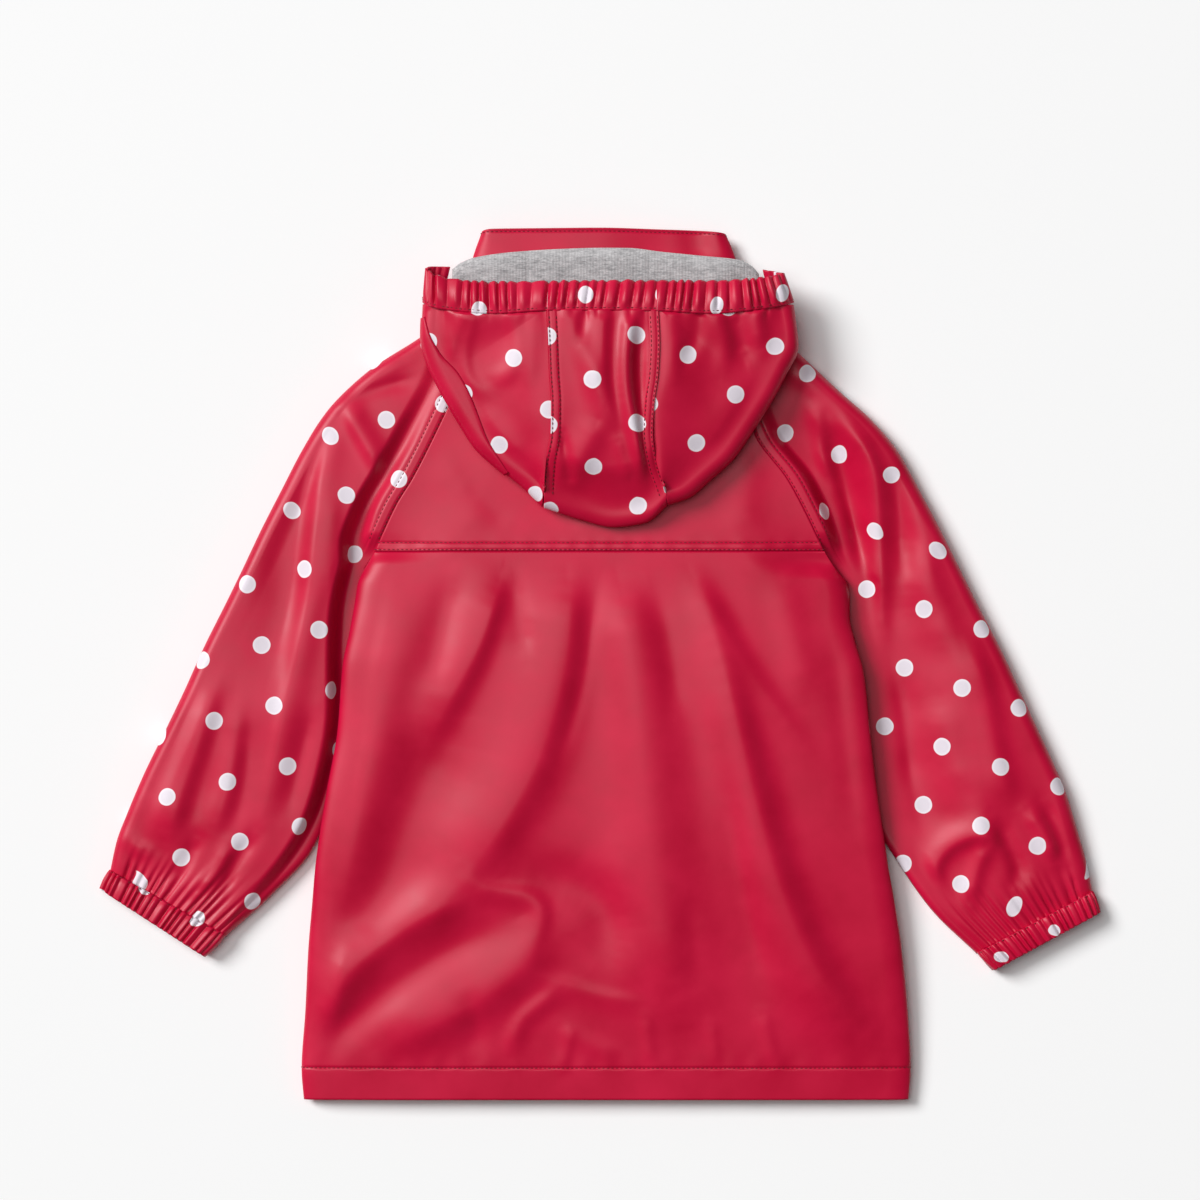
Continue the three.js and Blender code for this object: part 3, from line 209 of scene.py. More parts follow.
def gathers(around, count, seed):
    """Uneven gathers of an elastic casing. around runs from 0 to 1, and the height from about -1 to 1."""
    phases = np.random.default_rng(seed).uniform(0, FULL_TURN, 5)
    drift = 0
    for (waves, share), phase in zip(GATHER_DRIFT, phases):
        drift = drift + share * np.sin(FULL_TURN * waves * around + phase)
    turn = FULL_TURN * count * (around + drift)
    change = np.sin(FULL_TURN * GATHER_STRENGTH["waves"] * around + phases[2])
    strength = GATHER_STRENGTH["mean"] + GATHER_STRENGTH["change"] * change
    bulge = GATHER_BULGE["height"] * np.abs(np.sin(turn / 2)) ** GATHER_BULGE["power"] - GATHER_BULGE["sunk"]
    small = sum(share * np.sin(rate * turn + phase) for (rate, share), phase in zip(GATHER_SMALL, phases[3:]))
    return strength * (bulge + small)


# %% [markdown]
# ## A shell of cloth
# Cloth can be one sheet of faces, but then it has no edge and no inside. A closed thin shell is
# better: the outer face is fine enough for folds and stitched bands, the inner face is coarser
# because it hardly shows, and a rim joins the two. The shell keeps each point's place in the flat
# cloth as its UV, in metres, so that a printed pattern follows the cloth.


# %% The shell
INNER_STEP = 3


def spaced(*stretches):
    """Values from stretches of (start, end, steps). The steps in all are a multiple of INNER_STEP."""
    values = [stretches[0][0]]
    for start, end, count in stretches:
        values.extend(np.linspace(start, end, count + 1)[1:])
    values = np.array(values)
    while (len(values) - 1) % INNER_STEP:
        widest = int(np.argmax(np.diff(values)))
        values = np.insert(values, widest + 1, (values[widest] + values[widest + 1]) / 2)
    return values


def outward(points):
    normal = np.cross(np.gradient(points, axis=1), np.gradient(points, axis=0))
    return normal / np.maximum(np.linalg.norm(normal, axis=2, keepdims=True), 1e-9)


def strip_of(indices, step):
    return [indices[i * step:(i + 1) * step + 1] for i in range((len(indices) - 1) // step)]


def walked(points, axis):
    """How far each point lies along its row (axis 1) or its column (axis 0), measured on the cloth."""
    steps = np.linalg.norm(np.diff(points, axis=axis), axis=2)
    start = np.zeros_like(np.take(steps, [0], axis=axis))
    return np.concatenate([start, np.cumsum(steps, axis=axis)], axis=axis)


def by_part(share, first, second, near, turn, far):
    """The near value before first, the turn's before second, and the far one after it."""
    return np.where(share < first, near, np.where(share < second, turn, far))


def cloth_shell(name, surface, columns, rows, wall, inner_step=INNER_STEP, flat_place=None):
    u, v = np.meshgrid(columns, rows)
    outer = surface(u, v)
    outer[..., 2] = np.maximum(outer[..., 2], 0)
    thickness = wall(u, v) if callable(wall) else np.full(u.shape, wall)
    inner = (outer - outward(outer) * thickness[..., None])[::inner_step, ::inner_step]
    place = flat_place(u, v, outer) if flat_place else outer[..., :2]
    across, up = outer.shape[1], outer.shape[0]
    outer_index = np.arange(across * up).reshape(up, across)
    inner_index = across * up + np.arange(inner.shape[0] * inner.shape[1]).reshape(inner.shape[:2])

    def quads(index):
        corners = [index[:-1, :-1], index[:-1, 1:], index[1:, 1:], index[1:, :-1]]
        return np.stack(corners, axis=-1).reshape(-1, 4)

    faces = quads(outer_index).tolist() + quads(inner_index)[:, ::-1].tolist()
    rims = (
        (outer_index[0][::-1], inner_index[0][::-1]),
        (outer_index[-1], inner_index[-1]),
        (outer_index[:, 0], inner_index[:, 0]),
        (outer_index[:, -1][::-1], inner_index[:, -1][::-1]),
    )
    for outer_edge, inner_edge in rims:
        for run, pair in zip(strip_of(outer_edge, inner_step), strip_of(inner_edge, 1)):
            faces.append(run.tolist() + pair[::-1].tolist())
    points = np.concatenate([outer.reshape(-1, 3), inner.reshape(-1, 3)]) * MM
    mesh = bpy.data.meshes.new(name)
    mesh.from_pydata(points.tolist(), [], faces)
    mesh.polygons.foreach_set("use_smooth", np.ones(len(mesh.polygons), bool))
    flat = np.concatenate([place.reshape(-1, 2), place[::inner_step, ::inner_step].reshape(-1, 2)]) * MM
    corners = np.zeros(len(mesh.loops), int)
    mesh.loops.foreach_get("vertex_index", corners)
    mesh.uv_layers.new(name="UVMap").data.foreach_set("uv", flat[corners].astype(np.float32).ravel())
    mesh.update()
    piece = bpy.data.objects.new(name, mesh)
    bpy.context.scene.collection.objects.link(piece)
    area = sum(face.area for face in mesh.polygons) / 2
    triangles = sum(len(face.vertices) - 2 for face in mesh.polygons)
    print(name, "has", triangles, "triangles,", round(area, 4), "m2")
    return piece


def sew_in(piece, nodes, material):
    """The piece stands in for its solids, which are hidden, and takes the given material."""
    piece.data.materials.append(material)
    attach(piece, "root")
    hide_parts(*nodes)
    return piece


# %% [markdown]
# ## Grain, tone and print, shared by the coated cloth
# The polyurethane coating has a very fine leathery grain and a tone that isn't quite even. The
# print is a repeat of round dots, staggered like the five of a dice. Both are node groups, so
# each material places them with its own values. The dots come from a lattice worked out in the
# shader, on the cloth's own flat coordinates, so they bend over folds as print does.


# %% Node helpers
def new_group(name, inputs, outputs):
    group = bpy.data.node_groups.new(name, "ShaderNodeTree")
    for label, kind, value in inputs:
        socket = group.interface.new_socket(name=label, in_out="INPUT", socket_type=kind)
        if value is not None:
            socket.default_value = value
    for label, kind in outputs:
        group.interface.new_socket(name=label, in_out="OUTPUT", socket_type=kind)
    return group, group.nodes.new("NodeGroupInput"), group.nodes.new("NodeGroupOutput")


def node(tree, kind, **settings):
    made = tree.nodes.new(kind)
    for key, value in settings.items():
        setattr(made, key, value)
    return made


def math_node(tree, operation, first, second=None, third=None):
    made = node(tree, "ShaderNodeMath", operation=operation)
    for i, value in enumerate((first, second, third)):
        if value is None:
            continue
        if isinstance(value, (int, float)):
            made.inputs[i].default_value = value
        else:
            tree.links.new(value, made.inputs[i])
    return made.outputs[0]


def ramp(tree, value, from_low, from_high, to_low, to_high):
    made = node(tree, "ShaderNodeMapRange")
    made.inputs["From Min"].default_value = from_low
    made.inputs["From Max"].default_value = from_high
    made.inputs["To Min"].default_value = to_low
    made.inputs["To Max"].default_value = to_high
    tree.links.new(value, made.inputs["Value"])
    return made.outputs["Result"]


def noise(tree, vector, scale, detail=2.0, roughness=0.5):
    made = node(tree, "ShaderNodeTexNoise")
    made.inputs["Scale"].default_value = scale
    made.inputs["Detail"].default_value = detail
    made.inputs["Roughness"].default_value = roughness
    tree.links.new(vector, made.inputs["Vector"])
    return made.outputs["Fac"]


def srgb(red, green, blue):
    def channel(value):
        value /= 255
        return value / 12.92 if value <= 0.04045 else ((value + 0.055) / 1.055) ** 2.4

    return (channel(red), channel(green), channel(blue), 1)


# %% The coating's grain
PEBBLE_SCALE = 1400
CLOUD_SCALE = 26
CLOUD_HEIGHT = 0.35
COATING_ROUGHNESS = (0.36, 0.44)
coating, coating_in, coating_out = new_group(
    "coating grain",
    [("Vector", "NodeSocketVector", None)],
    [("Height", "NodeSocketFloat"), ("Tone", "NodeSocketFloat"), ("Roughness", "NodeSocketFloat")],
)
place = coating_in.outputs["Vector"]
pebble = noise(coating, place, PEBBLE_SCALE, 3.0, 0.6)
cloudy = noise(coating, place, CLOUD_SCALE, 4.0, 0.55)
grain_height = math_node(coating, "MULTIPLY_ADD", cloudy, CLOUD_HEIGHT, pebble)
coating.links.new(grain_height, coating_out.inputs["Height"])
coating.links.new(ramp(coating, cloudy, 0.3, 0.7, 0.0, 1.0), coating_out.inputs["Tone"])
coating.links.new(ramp(coating, cloudy, 0.3, 0.7, *COATING_ROUGHNESS), coating_out.inputs["Roughness"])

# %% The dots
DOT_PITCH = 0.0584
DOT_RADIUS = 0.0058
CELLS_AWAY = 100
EDGE_WOBBLE = {"scale": 180, "share": 0.09}
INK_ENDS = (1.01, 1.09)
INK_RIM = (0.72, 1.0)
dots, dots_in, dots_out = new_group(
    "staggered dots",
    [
        ("Vector", "NodeSocketVector", None),
        ("Pitch", "NodeSocketFloat", DOT_PITCH),
        ("Radius", "NodeSocketFloat", DOT_RADIUS),
    ],
    [("Mask", "NodeSocketFloat"), ("Rim", "NodeSocketFloat")],
)
split = node(dots, "ShaderNodeSeparateXYZ")
dots.links.new(dots_in.outputs["Vector"], split.inputs[0])


def distance_to_lattice(shift):
    squares = []
    for axis in ("X", "Y"):
        cells = math_node(dots, "DIVIDE", split.outputs[axis], dots_in.outputs["Pitch"])
        within = math_node(dots, "FRACT", math_node(dots, "ADD", cells, shift + CELLS_AWAY))
        centred = math_node(dots, "SUBTRACT", within, 0.5)
        squares.append(math_node(dots, "MULTIPLY", centred, centred))
    return math_node(dots, "SQRT", math_node(dots, "ADD", *squares))


near = math_node(dots, "MINIMUM", distance_to_lattice(0.5), distance_to_lattice(0.0))
radius_share = math_node(dots, "DIVIDE", math_node(dots, "MULTIPLY", near, dots_in.outputs["Pitch"]),
                         dots_in.outputs["Radius"])
uneven_edge = noise(dots, dots_in.outputs["Vector"], EDGE_WOBBLE["scale"], 1.0)
wobble = math_node(dots, "MULTIPLY", uneven_edge, EDGE_WOBBLE["share"])
edge = math_node(dots, "ADD", radius_share, wobble)
dots.links.new(ramp(dots, edge, *INK_ENDS, 1.0, 0.0), dots_out.inputs["Mask"])
dots.links.new(ramp(dots, edge, *INK_RIM, 0.0, 1.0), dots_out.inputs["Rim"])
print("one dot is", 2 * DOT_RADIUS, "m across")

# %% [markdown]
# ## The coated cloth
# Polyurethane on knit looks satin, not glossy: a broad soft highlight and deep colour. A
# Principled shader with middling roughness gives that, and a very fine bump breaks the highlight.


# %% Materials of the coated cloth
def principled(name, roughness, colour):
    material = bpy.data.materials.new(name)
    material.use_nodes = True
    tree = material.node_tree
    shader = tree.nodes["Principled BSDF"]
    shader.inputs["Roughness"].default_value = roughness
    shader.inputs["Base Color"].default_value = colour
    return material, tree, shader


def mix_colour(tree, factor, first, second):
    made = node(tree, "ShaderNodeMix", data_type="RGBA")
    for socket, value in ((0, factor), (6, first), (7, second)):
        if isinstance(value, tuple):
            made.inputs[socket].default_value = value
        else:
            tree.links.new(value, made.inputs[socket])
    return made.outputs[2]


def bump(tree, height, distance, strength, shader):
    made = node(tree, "ShaderNodeBump")
    made.inputs["Distance"].default_value = distance
    made.inputs["Strength"].default_value = strength
    tree.links.new(height, made.inputs["Height"])
    tree.links.new(made.outputs["Normal"], shader.inputs["Normal"])


COATING_SPECULAR = 0.33
GRAIN_DEPTH = 0.00006
INK_HEIGHT = 0.5
RED_DARK = srgb(188, 2, 50)
RED_LIGHT = srgb(203, 8, 59)
DOT_INK = srgb(226, 217, 226)
DOT_RIM = srgb(238, 232, 238)


def coated(name, dot_place=None):
    """Red cloth. With dot_place, a turn and a shift in metres, it is printed with dots."""
    material, tree, shader = principled(name, 0.45, RED_LIGHT)
    shader.inputs["Specular IOR Level"].default_value = COATING_SPECULAR
    coordinates = node(tree, "ShaderNodeTexCoord")
    grain = node(tree, "ShaderNodeGroup", node_tree=coating)
    tree.links.new(coordinates.outputs["Object"], grain.inputs["Vector"])
    colour = mix_colour(tree, grain.outputs["Tone"], RED_DARK, RED_LIGHT)
    height = grain.outputs["Height"]
    if dot_place:
        turn, shift_x, shift_y = dot_place
        mapping = node(tree, "ShaderNodeMapping")
        mapping.inputs["Location"].default_value = (shift_x, shift_y, 0)
        mapping.inputs["Rotation"].default_value = (0, 0, turn)
        tree.links.new(coordinates.outputs["UV"], mapping.inputs["Vector"])
        print_group = node(tree, "ShaderNodeGroup", node_tree=dots)
        print_group.inputs["Pitch"].default_value = DOT_PITCH
        print_group.inputs["Radius"].default_value = DOT_RADIUS
        tree.links.new(mapping.outputs["Vector"], print_group.inputs["Vector"])
        ink = mix_colour(tree, print_group.outputs["Rim"], DOT_INK, DOT_RIM)
        colour = mix_colour(tree, print_group.outputs["Mask"], colour, ink)
        height = math_node(tree, "MULTIPLY_ADD", print_group.outputs["Mask"], INK_HEIGHT, height)
    tree.links.new(colour, shader.inputs["Base Color"])
    tree.links.new(grain.outputs["Roughness"], shader.inputs["Roughness"])
    bump(tree, height, GRAIN_DEPTH, 0.35, shader)
    return material


plain_red = coated("coated red")

# %% [markdown]
# ## Thread and jersey
# The thread is red like the cloth but darker: painted shade that stands for the shadow in the
# stitch holes. The lining is a grey melange jersey: pale and dark fibres are spun together, so
# short streaks run along the knitted rows, over fine columns of stitches.

# %% Thread and jersey
# Painted shade: the thread is darker than the red cloth, to stand for the shadow in the stitch holes.
thread_with_painted_shade, tree, shader = principled("red stitching with painted hole shade", 0.6, srgb(120, 6, 30))
coordinates = node(tree, "ShaderNodeTexCoord")
fibres = noise(tree, coordinates.outputs["Object"], 3000, 2.0)
tree.links.new(mix_colour(tree, fibres, srgb(100, 4, 24), srgb(140, 10, 38)), shader.inputs["Base Color"])
bump(tree, fibres, 0.0001, 0.5, shader)

jersey, tree, shader = principled("grey melange jersey", 0.95, srgb(182, 178, 178))
coordinates = node(tree, "ShaderNodeTexCoord")
along_rows = node(tree, "ShaderNodeMapping")
along_rows.inputs["Scale"].default_value = (0.25, 1, 1)
tree.links.new(coordinates.outputs["Object"], along_rows.inputs["Vector"])
streaks = noise(tree, along_rows.outputs["Vector"], 1500, 3.0, 0.7)
patches = noise(tree, along_rows.outputs["Vector"], 420, 2.0, 0.6)
fleck = ramp(tree, math_node(tree, "MULTIPLY_ADD", patches, 0.6, streaks), 0.55, 1.05, 0.0, 1.0)
columns_of_knit = node(tree, "ShaderNodeTexWave", bands_direction="X")
columns_of_knit.inputs["Scale"].default_value = 320
columns_of_knit.inputs["Distortion"].default_value = 1.2
tree.links.new(coordinates.outputs["Object"], columns_of_knit.inputs["Vector"])
tree.links.new(mix_colour(tree, fleck, srgb(138, 136, 138), srgb(214, 211, 212)), shader.inputs["Base Color"])
bump(tree, math_node(tree, "ADD", columns_of_knit.outputs["Fac"], streaks), 0.0003, 0.6, shader)
shader.inputs["Sheen Weight"].default_value = 0.25

# %% [markdown]
# ## Sides of the body
# Below the armpit the back turns over a round side fold into the front. Above it, the edge is the
# raglan seam. One table for each side gives that edge, its height and how far the front lifts
# there. The right side isn't a mirror of the left, because the jacket lies unevenly.

# %% Sides of the body
SIDE_COLUMNS = "y x z lift"
LEFT_SIDE = table(
    SIDE_COLUMNS,
    (-291, -197.8, 6, 0), (-271, -199.3, 6.5, 0), (-231, -196.7, 8, 0), (-191, -194.7, 9.5, 0),
    (-160, -192.0, 11.5, 1), (-135, -189.7, 14, 8.6), (-115, -187.0, 15, 10), (-84, -182.0, 15.5, 10.5),
    (-43, -174.7, 15.5, 10.5), (-1, -171.5, 15.5, 10.5), (22, -166.8, 15, 10.5), (40, -163.6, 13.5, 10.3),
    (54, -161.4, 12.2, 9.6), (64, -156.8, 11, 8.8), (70, -153.2, 12, 8.2), (76.7, -149.3, 13.5, 6),
    (89.5, -143.5, 15.5, 3), (107, -135, 16.5, 0.8), (123, -125, 17, 0), (173, -100, 16.5, 0),
    (209, -83, 15.5, 0), (236, -73, 14.5, 0),
)
RIGHT_SIDE = table(
    SIDE_COLUMNS,
    (-291, 206.0, 7, 0), (-271, 207.3, 8, 0), (-231, 205.3, 10, 0), (-191, 201.3, 12, 0),
    (-160, 196.5, 14, 1), (-135, 192.0, 16, 8.6), (-115, 189.0, 17.5, 10), (-84, 184.2, 18.5, 10.5),
    (-43, 179.4, 19, 10.5), (-7, 175.7, 19, 10.5), (15, 169.7, 18, 10.5), (32, 166.2, 15.5, 10.3),
    (44, 166.4, 12.8, 9.6), (54, 164.6, 11, 8.8), (61, 159.0, 12.5, 8.2), (72.7, 150.7, 15, 5),
    (82, 146.0, 17, 3), (102, 136.4, 18, 0.8), (123.6, 124.5, 18, 0), (150, 104.7, 17.5, 0),
    (195, 88, 16, 0), (236, 74, 14.5, 0),
)
CROWN = table(
    "y z",
    (-291, 12), (-271, 13.5), (-200, 19), (-100, 24), (0, 25), (60, 23), (78, 21.5), (110, 19.5),
    (173, 18.5), (236, 15.5),
)
LEFT = {"name": "left", "sign": -1, "side": LEFT_SIDE, "armpit": 64}
RIGHT = {"name": "right", "sign": 1, "side": RIGHT_SIDE, "armpit": 54}


def side_at(half, y, column):
    return look_up(half["side"], "y", y, column)


def folded_side(half, y):
    return 1 - smooth(y, half["armpit"] + 2, half["armpit"] + ARMPIT_FADE)


# %% [markdown]
# ## Folds of the back
# The back hangs from the yoke in long soft folds that spread to the hem. The large ones follow the
# solids', with their true edges. The finer ones are placed between them: short creases under the
# yoke, ripples at the hem and pulls from the armpits.

# %% Folds of the back
BODY_FOLDS = [
    fold([(-66, 60), (-78, 16), (-97, -18), (-113, -46), (-128, -72)], (7, 12), 19, 4.2, (0.2, 0.4)),
    fold([(-22, 66), (-20, 20), (-27, -20), (-42, -67), (-64, -105), (-88, -138), (-116, -165)],
         (13, 16), (26, 38), 5.4, (0.15, 0.3)),
    fold([(10, 66), (22, 15), (33, -67), (38, -148), (47, -203), (60, -255)], 27, (18, 30), 6, (0.15, 0.25)),
    fold([(58, 66), (74, 20), (88, -28), (103, -94), (121, -159), (150, -220), (192, -262)],
         (11, 15), (20, 26), 7, (0.3, 0.2)),
    fold([(-128, 66), (-138, 10), (-150, -66), (-165, -148), (-182, -218)], (18, 20), 17, 3.4, (0.25, 0.25)),
    fold([(-106, 10), (-106, -62), (-141, -140), (-174, -205)], 30, 26, -6, (0.4, 0.2)),
    fold([(-80, -148), (-106, -161), (-132, -175), (-156, -193), (-176, -214), (-194, -246)],
         (11, 13), 18, 5.5, (0.25, 0.2)),
    fold([(-48, -172), (-78, -178), (-111, -197), (-149, -224), (-192, -262)], 12, 12, -3, (0.3, 0.2)),
    fold([(-36, -166), (-44, -192), (-66, -214), (-111, -240), (-160, -260)], 14, (16, 26), 4.5, (0.25, 0.3)),
]
BODY_CREASES = [
    fold([(58, 66), (80, 24), (104, -14), (134, -53), (150, -80)], 8, 13, 2.4, (0.2, 0.5)),
    fold([(-92, -134), (-82, -149), (-62, -152), (-46, -154), (-38, -164), (-41, -180), (-52, -200)],
         6, 9, 2.2, (0.25, 0.4)),
    fold([(-66, -136), (-22, -144), (4, -160), (9, -185), (-8, -206)], 15, 15, -3, (0.35, 0.35)),
    fold([(-22, -214), (-40, -226), (-56, -241), (-60, -264)], 7, 6, 1.7),
    fold([(-54, -204), (-8, -219), (34, -228)], 5, 8, 1.1),
    fold([(-92, -214), (-82, -238), (-84, -262)], 8, 9, -1.2),
    fold([(-28, -240), (-10, -252), (14, -262)], 6, 7, 0.8),
    fold([(-60, 62), (-52, 30), (-50, 2)], 7, 9, -1.6),
    fold([(0, 68), (-6, 30), (-14, -20), (-34, -78)], 6, 10, -1.3),
    fold([(30, 60), (44, 20), (52, -40)], 9, 10, -1.5),
    fold([(-95, 64), (-104, 30), (-112, -20)], 9, 11, -1.8),
    fold([(118, 66), (128, 20), (140, -30)], 11, 12, 1.3),
    fold([(158, 40), (164, -30), (176, -120)], 9, 10, -1.2),
    fold([(82, -60), (92, -140), (112, -225)], 8, 9, -1.2),
    fold([(10, -100), (14, -160), (22, -230)], 10, 12, 0.9),
    fold([(58, -150), (64, -225)], 9, 10, -1.0),
    fold([(30, -235), (34, -266)], 5, 5, 0.8),
    fold([(-20, -246), (-24, -268)], 4, 5, 0.7),
    fold([(108, -232), (116, -266)], 5, 6, 0.9),
    fold([(74, -240), (78, -268)], 4, 5, 0.6),
]


SIDE_RISE = {"round": 0.75, "swell": 70, "raglan": 55}
FOLD_FREE = {"side": (2, 26), "seam": 15, "crease": 12, "hem": 60, "at_hem": 0.35}
BACK_WAVES = {"height": 0.35, "size": 70, "seed": 3}


def back_height(x, y):
    crown = look_up(CROWN, "y", y, "z")
    height = crown.copy()
    clear = 1
    for half in (LEFT, RIGHT):
        distance = np.maximum((side_at(half, y, "x") - x) * half["sign"], 0)
        folded = folded_side(half, y)
        rise = (
            folded * quarter(distance / SIDE_ROUND) * SIDE_RISE["round"]
            + folded * smooth(distance, 0, SIDE_RISE["swell"]) * (1 - SIDE_RISE["round"])
            + (1 - folded) * smooth(distance, 0, SIDE_RISE["raglan"])
        )
        height -= (crown - side_at(half, y, "z")) * (1 - rise)
        clear = clear * smooth(distance, *FOLD_FREE["side"])
    seam_clear = smooth(YOKE_SEAM_Y - y, 0, FOLD_FREE["seam"])
    crease_clear = smooth(YOKE_SEAM_Y - y, 0, FOLD_FREE["crease"])
    hem_clear = lerp(FOLD_FREE["at_hem"], 1, smooth(y, HEM_Y, HEM_Y + FOLD_FREE["hem"]))
    large = fold_height(BODY_FOLDS, x, y) * seam_clear * hem_clear
    small = fold_height(BODY_CREASES, x, y) * crease_clear
    slow = BACK_WAVES["height"] * undulation(x, y, BACK_WAVES["size"], BACK_WAVES["seed"]) * crease_clear
    return height + (large + small + slow) * clear


def rounded_in(q, round_share):
    return SIDE_ROUND * (1 - np.cos(q / round_share * np.pi / 2))


def across(q, width, round_share):
    """The distance from the left side at the share q, with close columns on both round sides."""
    middle = lerp(SIDE_ROUND, width - SIDE_ROUND, (q - round_share) / (1 - 2 * round_share))
    right = width - rounded_in(1 - q, round_share)
    return by_part(q, round_share, 1 - round_share, rounded_in(q, round_share), middle, right)


def pressed_line(distance, depth=0.35, width=0.8):
    """The groove that a row of stitches presses into the cloth."""
    return -depth * np.exp(-((distance / width) ** 2))


# %% The back below the yoke
BACK_ROUND_SHARE = 0.06
HEM_GROOVE = {"depth": 0.6, "width": 0.9}
HEM_RIPPLE = {"height": 0.22, "length": 3.1, "drift": 1.5, "drift_length": 17, "reach": 14}


def back_body(u, v):
    y = lerp(HEM_Y, YOKE_SEAM_Y - SEAM_GAP, v)
    left = side_at(LEFT, y, "x")
    x = left + across(u, side_at(RIGHT, y, "x") - left, BACK_ROUND_SHARE)
    z = back_height(x, y) + SEAM_GAP / 2 + pressed_line(y - HEM_STITCH_Y, **HEM_GROOVE)
    drift = HEM_RIPPLE["drift"] * np.sin(x / HEM_RIPPLE["drift_length"])
    ripple = np.sin(x / HEM_RIPPLE["length"] + drift)
    near_row = smooth(y, HEM_STITCH_Y - 2, HEM_STITCH_Y) * (
        1 - smooth(y, HEM_STITCH_Y, HEM_STITCH_Y + HEM_RIPPLE["reach"])
    )
    return np.stack([x, y, z + HEM_RIPPLE["height"] * ripple * near_row], axis=-1)


BODY_LENGTH = YOKE_SEAM_Y - HEM_Y


def hem_wall(length):
    def wall(u, v):
        return CLOTH + HEM_EXTRA * (1 - smooth(v * length, HEM_DEPTH - 1, HEM_DEPTH))

    return wall


hem_share = (HEM_STITCH_Y - HEM_Y) / BODY_LENGTH
row_from = hem_share - 0.006
row_to = hem_share + 0.006
far_round = 1 - BACK_ROUND_SHARE
body_piece = sew_in(
    cloth_shell(
        "back_body_cloth",
        back_body,
        spaced((0, BACK_ROUND_SHARE, 16), (BACK_ROUND_SHARE, far_round, 250), (far_round, 1, 16)),
        spaced((0, row_from, 14), (row_from, row_to, 12), (row_to, 1, 256)),
        hem_wall(BODY_LENGTH),
    ),
    ["back_body"],
    plain_red,
)

# %% [markdown]
# ## The yoke
# The yoke is laid over the top of the back and stitched down twice, so its lower edge is a raised
# band five millimetres deep between two pressed rows. Rows of points are close there and wider
# above.


# %% The yoke
ROW_IN = 0.9
BAND_EDGE = 0.8
YOKE_ROW_PAST_BAND = 0.4
YOKE_PUCKER = {"height": 0.12, "length": 2.3, "drift": 2, "drift_length": 23, "at": 3, "width": 5}
YOKE_WAVES = {"height": 0.3, "size": 80, "seed": 8}
YOKE_FREE = {"from": 6, "creases": 20, "waves": 30}


def yoke(u, v):
    edge_y = lerp(YOKE_SEAM_Y, NECK_Y, v)
    y = lerp(YOKE_SEAM_Y, NECK_Y - BACK_NECK_DROP * np.sin(np.pi * u), v)
    left = side_at(LEFT, edge_y, "x")
    x = lerp(left, side_at(RIGHT, edge_y, "x"), u)
    up = y - YOKE_SEAM_Y
    band = YOKE_BAND_RISE * (1 - smooth(up, YOKE_BAND, YOKE_BAND + BAND_EDGE)) * smooth(up, -0.1, 0.5)
    grooves = pressed_line(up - ROW_IN) + pressed_line(up - YOKE_BAND - YOKE_ROW_PAST_BAND)
    drift = YOKE_PUCKER["drift"] * np.sin(x / YOKE_PUCKER["drift_length"])
    pucker = YOKE_PUCKER["height"] * np.sin(x / YOKE_PUCKER["length"] + drift)
    near_band = np.exp(-(((up - YOKE_PUCKER["at"]) / YOKE_PUCKER["width"]) ** 2))
    creases = fold_height(YOKE_CREASES, x, y) * smooth(up, YOKE_FREE["from"], YOKE_FREE["creases"])
    waves = YOKE_WAVES["height"] * undulation(x, y, YOKE_WAVES["size"], YOKE_WAVES["seed"])
    soft = creases + waves * smooth(up, YOKE_FREE["from"], YOKE_FREE["waves"])
    z = back_height(x, edge_y) + SEAM_GAP / 2 + band + grooves + pucker * near_band + soft
    return np.stack([x, y, z], axis=-1)


YOKE_CREASES = [
    fold([(-110, 140), (-88, 110), (-72, 86)], 10, 12, 0.9),
    fold([(-92, 118), (-60, 92)], 9, 11, -0.7),
    fold([(104, 140), (96, 112), (98, 84)], 10, 12, 0.8),
    fold([(-20, 92), (20, 90)], 9, 9, 0.5),
]
yoke_length = NECK_Y - YOKE_SEAM_Y
band_share = 8 / yoke_length
yoke_piece = sew_in(
    cloth_shell(
        "back_yoke_cloth", yoke, spaced((0, 1, 228)), spaced((0, band_share, 24), (band_share, 1, 96)), CLOTH
    ),
    ["back_yoke"],
    plain_red,
)

# %% [markdown]
# ## The fronts
# The fronts lie under the back and carry the jacket, so they are flat on the table. They close
# with an overlap in the middle and turn up into the side fold.

# %% The fronts
PLACKET = 12
UNDER_Z = 1.6
OVER_Z = 3.9
FRONT_ROUND_SHARE = 3 / 16
NECK_HALF = 74.2
LIFT_FROM = 17
LIFT_TO = 40
LIFT_MORE = 18
OVERLAP_FLAT = 29


def front_neck_y(x):
    return NECK_Y - FRONT_NECK_DROP * np.sqrt(1 - np.minimum(np.abs(x) / NECK_HALF, 1) ** 2)


